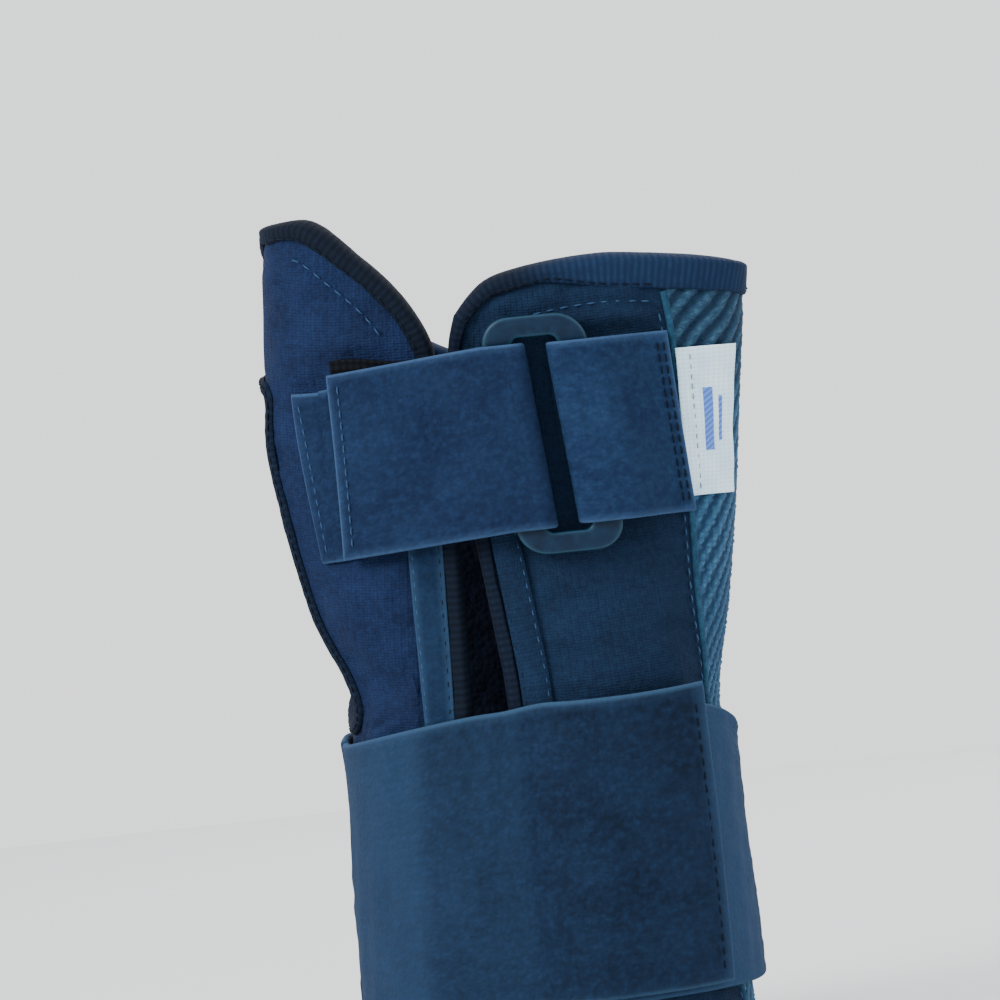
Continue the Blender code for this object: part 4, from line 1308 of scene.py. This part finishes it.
def outer_painted_sheen_and_hem(phi, left):
    """Painted sheen, paler beyond the gap and more so on the thumb side, and paler along the end's hem.
    """
    near_gap = smooth(on_back(-2.5), on_back(-5), phi)
    far = smooth(on_back(-18), on_back(-22), phi)
    return 0.16 * near_gap + 0.22 * far + 0.45 * smooth(2.2, 1.4, left)


# Painted sheen: the palm turn is painted paler towards the thumb side.
def palm_turn_painted_sheen(phi, _):
    return 0.38 * by_degrees(225, 265, phi)


def wide_band(name, start, end, bottom, top, low, seed, open_ends, shade, lean=0.0):
    """A stretch of the wide strap between two angles. Its bottom and top heights and its offset
    are functions of phi, and its end can lean."""
    length = abs(girth(end) - girth(start))

    def place(t, w):
        phi = mixed(start, end, t) + lean * (w - 0.5) * t ** 3
        droop = 0.15 * ripple(t * length, 0, 34, seed + 7)
        s = mixed(bottom(phi), top(phi), w) + droop * (w - 0.5) * 2
        return phi, s, low(phi) + STRAP_THICK / 2 + 0.12 * ripple(t * length, w * 50, 22, seed + 3)
    return band(name, place, length, top(start) - bottom(start), STRAP_THICK, "elastic", seed,
                open_ends, step=1.0, selvedge=0.14, wave=0.13, shade=shade)


def wrist_strap():
    """The wide strap: its first turn from the sewn start to the palm, its way on to the thumb
    side, and the outer band over the back, whose heights meet where the stretches join."""
    start, end, split = on_back(ANCHOR_START_X), on_back(STRAP_END_X), on_back(-33.5)

    def first_low(phi):
        return STRAP_LOW + palm_lift(phi)

    def join_bottom(phi):
        share = by_degrees(255, 280, phi)
        return mixed(first_bottom(phi), STRAP_S[0] - 0.5, share)

    def join_top(phi):
        return mixed(first_top(phi), over_top(phi - TURN), by_degrees(225, 275, phi))

    def start_bottom(phi):
        return mixed(join_bottom(split + TURN), STRAP_S[0], smooth(split, 0, phi))

    ulnar = wide_band("wrist_strap_first_turn", start, pi, first_bottom, first_top, first_low, 51,
                      (False, True), first_turn_painted_sheen)
    settle(ulnar, "ulnar", "wrist_strap_start", "wrist_strap_round")
    radial = wide_band("wrist_strap_palm_turn", pi, split + TURN, join_bottom, join_top, first_low,
                       53, (True, True), palm_turn_painted_sheen)
    settle(radial, "radial", "wrist_strap_round")
    over = wide_band("wrist_strap_outer_turn", split, end, start_bottom, over_top, over_rise, 55,
                     (True, False), outer_painted_sheen_and_hem, STRAP_LEAN)
    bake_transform(over)
    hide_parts("wrist_strap_over")


# ---- hand strap, ring and loop

def ribbon(name, route, look_name, seed, thick=WEBBING_THICK, heights=lambda x: WEBBING_Z,
           open_ends=(False, False)):
    """Webbing along a route of (x, offset) with its width along the hand, between two heights."""
    route = np.array(route, float)
    run = np.concatenate([[0], np.cumsum(np.hypot(*np.diff(route, axis=0).T))])
    length, width = run[-1], WEBBING_Z[1] - WEBBING_Z[0]
    t, w, side, end, half = flat_grid(length, width, thick, (0.7, 0.9), open_ends)
    u, v = t * length, w * width
    x, o = (np.interp(u, run, column) for column in route.T)
    dx, do = np.gradient(x, axis=0), np.gradient(o, axis=0)
    size = np.maximum(np.hypot(dx, do), 1e-9)
    lift = 0.05 * bell(side - 1.1, 0.5) + 0.05 * ripple(u, v, 7, seed)
    lift *= smooth(0, 1.0, side) * smooth(0, 1.5, u) * smooth(0, 1.5, (1 - t) * length)
    bottom, top = heights(x)
    z = bottom + (top - bottom) * w + STRAP_SLANT * np.minimum(0, x + 2.0)
    tilt = RING_TILT * smooth(STRAP_START_X + 2, -4.0, x) * (1 - 0.35 * smooth(16, 28, x))
    x = x - tilt * (z - RING_CENTRE[1])
    low, high = (lie(x - away * do / size, z, o + away * dx / size) for away in (-half, half + lift))
    return closed_grid(name, low, high, u, v, look_name, bell(np.minimum(side, end), 0.5))


def climb(xs, start, end, low, high):
    """Route points that rise smoothly from one offset to another between two x."""
    return [(x, low + (high - low) * float(smooth(start, end, x))) for x in xs]


def run_middle(x):
    """The offset of the hand strap's run, and below, of the tail that lies back over it."""
    return GAP + 1.1 * smooth(STRAP_START_X, -20.0, x) + WEBBING_THICK / 2


def tail_middle(x):
    over_hook = run_middle(x) + WEBBING_THICK + HOOK_THICK + 2 * GAP
    over_ring = RING_OFFSETS[1] + BAR_CLEAR + WEBBING_THICK / 2
    return mixed(over_hook, over_ring, smooth(-13.0, -3.5, x))


def bend(centre_x, middle, radius, turn):
    """Route points round a bar of the ring, from under it to over it."""
    angles = -pi / 2 + turn * np.linspace(0, 1, 17)
    return [(centre_x + radius * cos(a), middle + radius * sin(a)) for a in angles]


def run_route(centre, middle, radius):
    """The hand strap's route from its sewn start to the ring and round its bar."""
    bar_left = RING_CENTRE[0] - RING_SIZE[0] / 2
    route = [(x, run_middle(x)) for x in np.linspace(STRAP_START_X, bar_left - 1.3, 40)]
    lead = np.linspace(bar_left - 1.3, centre, 10)[1:-1]
    route += climb(lead, lead[0], lead[-1], route[-1][1], middle - radius)
    return route + bend(centre, middle, radius, pi) + [(centre - 0.5, middle + radius)]


def run_heights(x):
    return WEBBING_Z[0], mixed(121.1, WEBBING_Z[1], smooth(-29.2, -27.8, x))


def hand_strap():
    """The hand strap's run and turn through the ring, and the tail that is folded back over it."""
    middle, radius = sum(RING_OFFSETS) / 2, BAR_HALF + WEBBING_THICK / 2
    centre = RING_CENTRE[0] - RING_SLOT[0] / 2 - 0.75
    run = ribbon("hand_strap_run_and_turn", run_route(centre, middle, radius), "webbing", 61,
                 heights=run_heights, open_ends=(True, True))
    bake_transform(run)
    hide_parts("hand_strap", "hand_strap_turn")
    route = [(x, tail_middle(x)) for x in np.linspace(centre - 0.5, TAIL_END_X, 44)]
    tail = ribbon("hand_strap_folded_tail", route, "webbing", 63, open_ends=(True, False))
    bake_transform(tail)
    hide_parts("hand_strap_tail")


def hand_strap_base():
    """The short end of the hand strap's webbing that is sewn to the flap."""
    top_left, low_left, top_right, low_right = seen((-35.4, 118.9), (-33.0, 89.9), (-29.0, 118.7),
                                                    (-29.0, 90.1))

    def place(t, w):
        t, w = t[..., None], w[..., None]
        at = mixed(mixed(low_left, top_left, w), mixed(low_right, top_right, w), t)
        middle = GAP + WEBBING_THICK / 2 - 0.25 * smooth(0.7, 0.85, t[..., 0])
        return at[..., 0], at[..., 1], middle
    base = band("hand_strap_sewn_base", place, 6.5, 28.8, WEBBING_THICK, "webbing", 65,
                (False, True), selvedge=0.05, wave=0.05, rub=0.4)
    settle(base, "radial_flap", "hand_strap_base")


def ring_loop(width, height, radius):
    """A rounded rectangle. Its corners and sides have the same counts of points whatever its
    size, so that the outer and the inner one pair up."""
    x, z = width / 2 - radius, height / 2 - radius
    arcs, made = [], []
    for k, centre in enumerate(((x, z), (-x, z), (-x, -z), (x, -z))):
        turn = pi / 2 * (k + np.linspace(0, 1, 10))
        arcs.append(centre + radius * np.stack([np.cos(turn), np.sin(turn)], -1))
    for arc, following, count in zip(arcs, arcs[1:] + arcs[:1], (5, 12, 5, 12)):
        share = np.arange(1, count + 1)[:, None] / (count + 1)
        made += [arc, mixed(arc[-1], following[0], share)]
    return np.vstack(made)


def ring():
    """The moulded ring: a flat rounded section swept round its slot."""
    outer = ring_loop(*RING_SIZE, 4.8)
    inner = ring_loop(*RING_SLOT, 1.3)
    middle, half = sum(RING_OFFSETS) / 2, (RING_OFFSETS[1] - RING_OFFSETS[0]) / 2
    turn = np.linspace(0, TURN, 25)[:-1]
    power = 0.42   # how square its section is: 1 would be an ellipse
    share = 0.5 - 0.5 * np.sign(np.cos(turn)) * abs(np.cos(turn)) ** power
    height = middle + half * np.sign(np.sin(turn)) * abs(np.sin(turn)) ** power
    rings = []
    for a, b in zip(outer, inner):
        x, z = mixed(a, b, share[:, None]).T
        rings.append(lie(RING_CENTRE[0] + x - RING_TILT * z, RING_CENTRE[1] + z, height))
    run = run_of(np.array([r[0] for r in rings]))
    # Painted highlight: the outer shoulders of the section, which the plastic look paints paler.
    edge = bell(abs(np.cos(turn)) - 0.75, 0.2) * (np.sin(turn) > 0)
    obj = tube("strap_ring_moulding", rings, run, "plastic", closed=True, edge=edge)
    settle(obj, "ring", "strap_ring")


def ring_anchor():
    """The webbing folded through the ring, with both ends sewn into the ulnar flap's seam."""
    thick, end = 1.0, 28.0
    middle, radius = sum(RING_OFFSETS) / 2, BAR_HALF + thick / 2
    centre = RING_CENTRE[0] + RING_SLOT[0] / 2 + 0.75
    bar = RING_CENTRE[0] + RING_SIZE[0] / 2
    low, high = GAP + thick / 2, 2 * GAP + 1.5 * thick
    xs = np.linspace(end, centre, 34)
    route = climb(xs, 26.0, bar, low, middle - radius) + bend(centre, middle, radius, -pi)[1:]
    route += climb(xs[-2::-1], 26.0, bar + 0.6, high, middle + radius)
    obj = ribbon("ring_webbing_loop", route, "anchor", 71, thick,
                 lambda x: (WEBBING_Z[0] + 0.3, WEBBING_Z[1] - 0.3))
    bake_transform(obj)
    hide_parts("ring_anchor_loop")


# ---- hook patches, label, pocket, stay

def hooks():
    """The hook tapes under the ends of both straps; the hand strap's patch also reaches above the
    webbing towards its left end, where its black top is a painted shadow above the folded tail.
    """
    start, end = map(on_back, HOOK_X)
    low, high = STRAP_S[0] + 2.5, STRAP_S[1] - 4.0

    def place(t, w):
        return mixed(start, end, t), mixed(low, high, w), STRAP_LOW + STRAP_THICK + GAP + 0.25
    obj = band("wrist_strap_hook_patch", place, girth(end) - girth(start), high - low, 0.4, "hook", 81,
               selvedge=0.0, wave=0.02)
    settle(obj, "wrist_strap", "wrist_strap_hook")

    # Painted shadow: the patch's top rises up to 2.2 mm above the webbing to the left, showing black
    # above the tail.
    def heights(x):
        return WEBBING_Z[0] + 1.6, WEBBING_Z[1] + 0.1 + 2.2 * smooth(-14.0, -27.0, x)
    route = [(x, run_middle(x) + WEBBING_THICK / 2 + GAP + 0.4) for x in np.linspace(-28.0, -13.5, 20)]
    obj = ribbon("hand_strap_hook_patch", route, "hook", 83, 0.55, heights)
    settle(obj, "hand_strap_tail", "hand_strap_hook")


LABEL_SIZE = (11.5, 25.0)
STRIPES = {"label_stripe_wide": ((0.44, 0.62), (0.30, 0.72)),
           "label_stripe_thin": ((0.72, 0.78), (0.36, 0.66))}


def on_label(t, w):
    """A place on the label, whose free side curls away from the mesh."""
    z = 95.0 + LABEL_SIZE[1] * w
    phi, s = np.moveaxis(front(mixed(28.4 + 0.3 * w, width_ulnar(z) - 1.5 - 0.4 * w, t), z), -1, 0)
    curl = 0.5 * smooth(0.55, 1.0, t) * (0.4 + 0.6 * (2 * w - 1) ** 2)
    return phi, s, 0.75 + curl + 0.12 * ripple(t * 11, w * 25, 12, 91)


def on_stripe(across, up):
    """The places of a stripe that takes up two spans of the label, just above it."""
    def place(t, w):
        phi, s, o = on_label(mixed(*across, t), mixed(*up, w))
        return phi, s, o + 0.17
    return place


def label():
    """The woven label in the seam, with two plain stripes in place of print."""
    obj = band("sewn_woven_label", on_label, *LABEL_SIZE, 0.35, "label", 91, selvedge=0.0, wave=0.03,
               step=0.5)
    settle(obj, "ulnar", "sewn_label")
    for name, spans in STRIPES.items():
        size = [whole * (high - low) for whole, (low, high) in zip(LABEL_SIZE, spans)]
        obj = band(name, on_stripe(*spans), *size, 0.16, "stripe", 93, selvedge=0.0, wave=0.0,
                   step=0.3)
        across_fold(obj)


def stay_half(s):
    """Half the palm stay's width, which grows towards the hand."""
    return mixed(*STAY_HALF, smooth(62, 88, s))


def wall_y(x, s, o):
    """The y of the palm side's wall at an offset."""
    width = np.where(x > 0, width_ulnar(s), width_radial(s)) + o
    return (DEPTH_PALM + o) * (1 - (abs(x) / width) ** POWER_PALM) ** (1 / POWER_PALM)


def palm_line(x, s):
    """The (phi, s) of places on the palm side at x."""
    return pairs(np.arctan2(x, -wall_y(x, s, 0.0)) % TURN, s)


def pocket():
    """The pocket's cover on the palm: flat at its sewn rim and raised over the stay."""
    across, s = np.meshgrid(np.linspace(-1, 1, 37), np.linspace(*POCKET_S, 105), indexing="ij")
    half = stay_half(s)
    wide = half + 5.0
    x = across * wide
    lift = smooth(half + 3.2, half + 0.2, abs(x)) * smooth(POCKET_S[0] + 1.5, POCKET_S[0] + 6.0, s)
    pillow = 0.25 * ripple(x, s, 14, 95) * lift
    y = mixed(wall_y(x, s, GAP), POCKET_Y[0] + 0.1, lift) + pillow * 0.4
    from_side = wide - abs(x)
    side = np.minimum(from_side, s - POCKET_S[0])
    rounded = rounding(side, 0.5) * rounding(POCKET_S[1] - s, 0.5)
    high = y + (POCKET_Y[1] - POCKET_Y[0]) * rounded + 0.02
    high += (0.25 * pillow - 0.12 * bell(from_side - 1.5, 0.5)) * smooth(0, 1.5, side)
    obj = closed_grid("stay_pocket_cover", bent(x, y, s), bent(x, high, s), x + 30, s, "channel",
                      bell(side, 0.6))
    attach(obj, "root")
    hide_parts("stay_pocket")


def pocket_mouth():
    """The tape along the pocket's open end."""
    start, end = POCKET_S[1] - 5.2, POCKET_S[1] + 0.3
    half = stay_half(POCKET_S[1]) - 0.2
    x, s = np.meshgrid(np.linspace(-half, half, 46), np.linspace(start, end, 14), indexing="ij")
    side = np.minimum(np.minimum(half - abs(x), s - start), end - s)
    low = POCKET_Y[1] + 0.2
    high = low + 0.08 + 0.55 * rounding(side, 0.5) + 0.05 * ripple(x, s, 4, 96)
    obj = closed_grid("pocket_mouth_binding", bent(x, low, s), bent(x, high, s), x + 30, s,
                      "binding", bell(side, 0.4))
    settle(obj, "root", "pocket_mouth_tape")


def stay():
    """The palm stay: a thin plate with rounded ends and eased edges."""
    low, high = STAY_S
    s = (low + high) / 2 - (high - low) / 2 * np.cos(np.linspace(0, pi, 80))
    across, s = np.meshgrid(np.linspace(-1, 1, 29), s, indexing="ij")
    reach = np.where(s < 60, 8.0, 12.0)
    near_end = np.minimum(1, (np.minimum(s - low, high - s) + 0.02) / reach)
    half = stay_half(s) * np.sqrt(1 - (1 - near_end) ** 2)
    x = across * half
    ease = 0.35 * (1 - rounding((1 - abs(across)) * half, 0.5))
    inner, outer = bent(x, STAY_Y[0] + ease, s), bent(x, STAY_Y[1] - ease, s)
    obj = closed_grid("palm_stay_plate", inner, outer, x + 30, s, "aluminium", ease)
    settle(obj, "palm_stay", "palm_stay")


def dorsal_stays():
    """The two thin stays in the channels keep the frame's shape and get the look of steel."""
    for node in ("radial_dorsal_stay", "ulnar_dorsal_stay"):
        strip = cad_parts[node]
        strip.data.materials.clear()
        strip.data.materials.append(LOOKS["steel"])


# ---- stitch rows

def flap_stitches():
    """Pale rows along the channels, below the tops and along the mesh's seam, and dark rows that
    hold the edge tapes."""
    gap, top = above(even(gap_edge_radial(), 120), 7.0)[2:-4], even(top_edge_radial(), 60)
    light = sew("radial_flap_light_stitches", "light_thread",
                (gap, 0.85, {"side": 1, "distance": CHANNEL_ROWS["light"]}),
                (top[14:-8], 0.55, {"side": -1, "distance": TOP_ROW["radial"]}))
    dark = sew("radial_flap_dark_stitches", "dark_thread",
               (gap, 0.85, {"side": 1, "distance": CHANNEL_ROWS["dark"]}),
               (top[8:], 0.9, {"side": -1, "distance": 1.5, "pitch": 1.9}))
    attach(light, "radial_flap")
    across_fold(dark)

    gap, top = above(even(gap_edge_ulnar(), 120), 7.0)[2:-6], even(top_edge_ulnar(), 60)
    light = sew("ulnar_flap_light_stitches", "light_thread",
                (gap, 0.85, {"side": -1, "distance": CHANNEL_ROWS["light"]}),
                (top[2:], 0.5, {"side": -1, "distance": TOP_ROW["ulnar"]}),
                (even(seam_ulnar(), 100)[6:-6], 0.42, {"side": 1, "distance": 1.7}))
    dark = sew("ulnar_flap_dark_stitches", "dark_thread",
               (gap, 0.85, {"side": -1, "distance": CHANNEL_ROWS["dark"]}),
               (top, 0.9, {"side": -1, "distance": lambda phi: ulnar_width(phi) - 0.8, "pitch": 1.9}))
    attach(light, "ulnar_flap")
    across_fold(dark)


def palm_stitches():
    """The dark rows that hold the tapes of the hem, the thumb hole and the palm's top."""
    hem = HEM + HEM_TAPE - 0.7
    round_hole = {"side": -1, "distance": 1.2, "pitch": 1.9, "closed": True}
    along_top = {"side": -1, "distance": 3.8, "pitch": 2.1}
    radial = sew("palm_radial_stitches", "dark_thread",
                 (level(gap_edge_radial()[0, 0], -pi, 120, hem), 0.85, {"pitch": 2.1}),
                 (spaced(thumb_hole(), 0.8, True), 0.92, round_hole),
                 (palm_top_line(pi, radians(240), 60), 0.86, along_top))
    ulnar = sew("palm_ulnar_stitches", "dark_thread",
                (level(gap_edge_ulnar()[0, 0], pi, 120, hem), 0.85, {"pitch": 2.1}),
                (palm_top_line(fold(1, ULNAR_TOP), pi, 80), 0.86, along_top))
    across_fold(radial)
    across_fold(ulnar)


def hand_strap_stitches():
    base = front(np.linspace(-34.2, -31.9, 20), np.linspace(117.8, 91.0, 20))
    base = sew("hand_strap_base_stitches", "light_thread", (base, 1.45, {"pitch": 2.0}))
    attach(base, "radial_flap")

    z = np.linspace(*WEBBING_Z, 22)[1:-1] + STRAP_SLANT * (TAIL_END_X + 3.8)
    tail = under(np.full(20, TAIL_END_X + 1.8), z, 4.5)
    tail = sew("hand_strap_tail_stitches", "light_thread", (tail, 4.62, {"pitch": 2.0}))
    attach(tail, "hand_strap_tail")

    z = np.linspace(WEBBING_Z[0] + 1, WEBBING_Z[1] - 1, 20)
    rows = [(under(x - 0.68 * RING_TILT * (z - RING_CENTRE[1]), z, 2.6), 2.74, {"pitch": 2.0})
            for x in (26.0, 27.0)]
    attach(sew("ring_loop_stitches", "dark_thread", *rows), "ulnar_flap")


def wrist_strap_stitches():
    s = np.linspace(STRAP_S[0] + 1.5, STRAP_S[1] - 1.5, 30)
    phi = on_back(STRAP_END_X - 1.6) + STRAP_LEAN * np.linspace(-0.46, 0.46, 30)
    on_top = STRAP_LOW + 2 * GAP + 2 * STRAP_THICK + HOOK_THICK + 0.05
    end = sew("wrist_strap_end_stitches", "dark_thread", (pairs(phi, s), on_top, {}))
    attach(end, "wrist_strap")


def label_stitches():
    z = np.linspace(95.8, 119.2, 20)
    row = (front(30.6 + 0.016 * (z - 95), z), 0.95, {"pitch": 1.7, "length": 1.1, "radius": 0.12})
    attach(sew("label_stitches", "pale_thread", row), "ulnar_flap")


def pocket_stitches():
    """The row round the pocket's cover, which leaves its mouth open."""
    s = np.linspace(POCKET_S[0] + 1.5, POCKET_S[1] - 1.5, 90)
    bottom = palm_line(np.linspace(-15.0, 15.0, 40), s[0])
    sides = (palm_line(side * (stay_half(s) + 3.5), s) for side in (1, -1))
    rim = sew("stay_pocket_stitches", "light_thread", *((row, 1.14, {}) for row in (*sides, bottom)))
    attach(rim, "root")


# ---- stage, light and camera

VIEW_CENTRE = Vector((-3.48, -12.0, 97.5)) * MM
VIEW_WIDTH = 169.5 * MM
LENS = 200.0
SENSOR = 36.0
ROLL = radians(5.84)


def stage():
    """A round pale floor, a little below the hem."""
    work = bmesh.new()
    bmesh.ops.create_circle(work, cap_ends=True, segments=96, radius=0.9)
    mesh = bpy.data.meshes.new("floor")
    work.to_mesh(mesh)
    work.free()
    mesh.uv_layers.new(name="cloth")
    floor = bpy.data.objects.new("floor", mesh)
    floor.location.z = -0.0003
    mesh.materials.append(floor_look())
    bpy.context.scene.collection.objects.link(floor)


def light(name, place, size, power, colour=(1, 1, 1)):
    data = bpy.data.lights.new(name, "AREA")
    data.size = size
    data.energy = power
    data.color = colour
    obj = bpy.data.objects.new(name, data)
    obj.location = place
    target = Vector((0, 0, 0.08))
    obj.rotation_euler = (target - obj.location).to_track_quat("-Z", "Y").to_euler()
    bpy.context.scene.collection.objects.link(obj)


def lights():
    """An even sky and three soft lamps: key at the upper left, weak fill, and one behind."""
    world = bpy.data.worlds.new("studio")
    world.use_nodes = True
    sky = world.node_tree.nodes["Background"]
    sky.inputs["Color"].default_value = (0.96, 0.975, 1.0, 1)
    sky.inputs["Strength"].default_value = 1.6
    bpy.context.scene.world = world
    light("key", (-0.62, -0.62, 0.5), 0.4, 13.0)
    light("fill", (0.75, -0.45, 0.35), 0.5, 2.5, (0.94, 0.97, 1.0))
    light("back", (0.25, 0.8, 0.7), 0.6, 5.0)


def camera():
    """A long lens straight at the back of the splint, rolled as the photo's arm leans."""
    data = bpy.data.cameras.new("camera")
    data.lens = LENS
    data.sensor_width = SENSOR
    data.clip_start = 0.01
    obj = bpy.data.objects.new("camera", data)
    distance = VIEW_WIDTH * LENS / SENSOR
    obj.location = VIEW_CENTRE - Vector((0, distance, 0))
    obj.rotation_euler = (radians(90), ROLL, 0)
    bpy.context.scene.collection.objects.link(obj)
    bpy.context.scene.camera = obj


camera()
stage()
lights()
thumb_side()
little_finger_side()
mesh_side()
top_tapes()
lower_tapes()
channels()
wrist_strap()
hand_strap()
hand_strap_base()
ring()
ring_anchor()
hooks()
label()
pocket()
pocket_mouth()
stay()
dorsal_stays()
flap_stitches()
palm_stitches()
hand_strap_stitches()
wrist_strap_stitches()
label_stitches()
pocket_stitches()
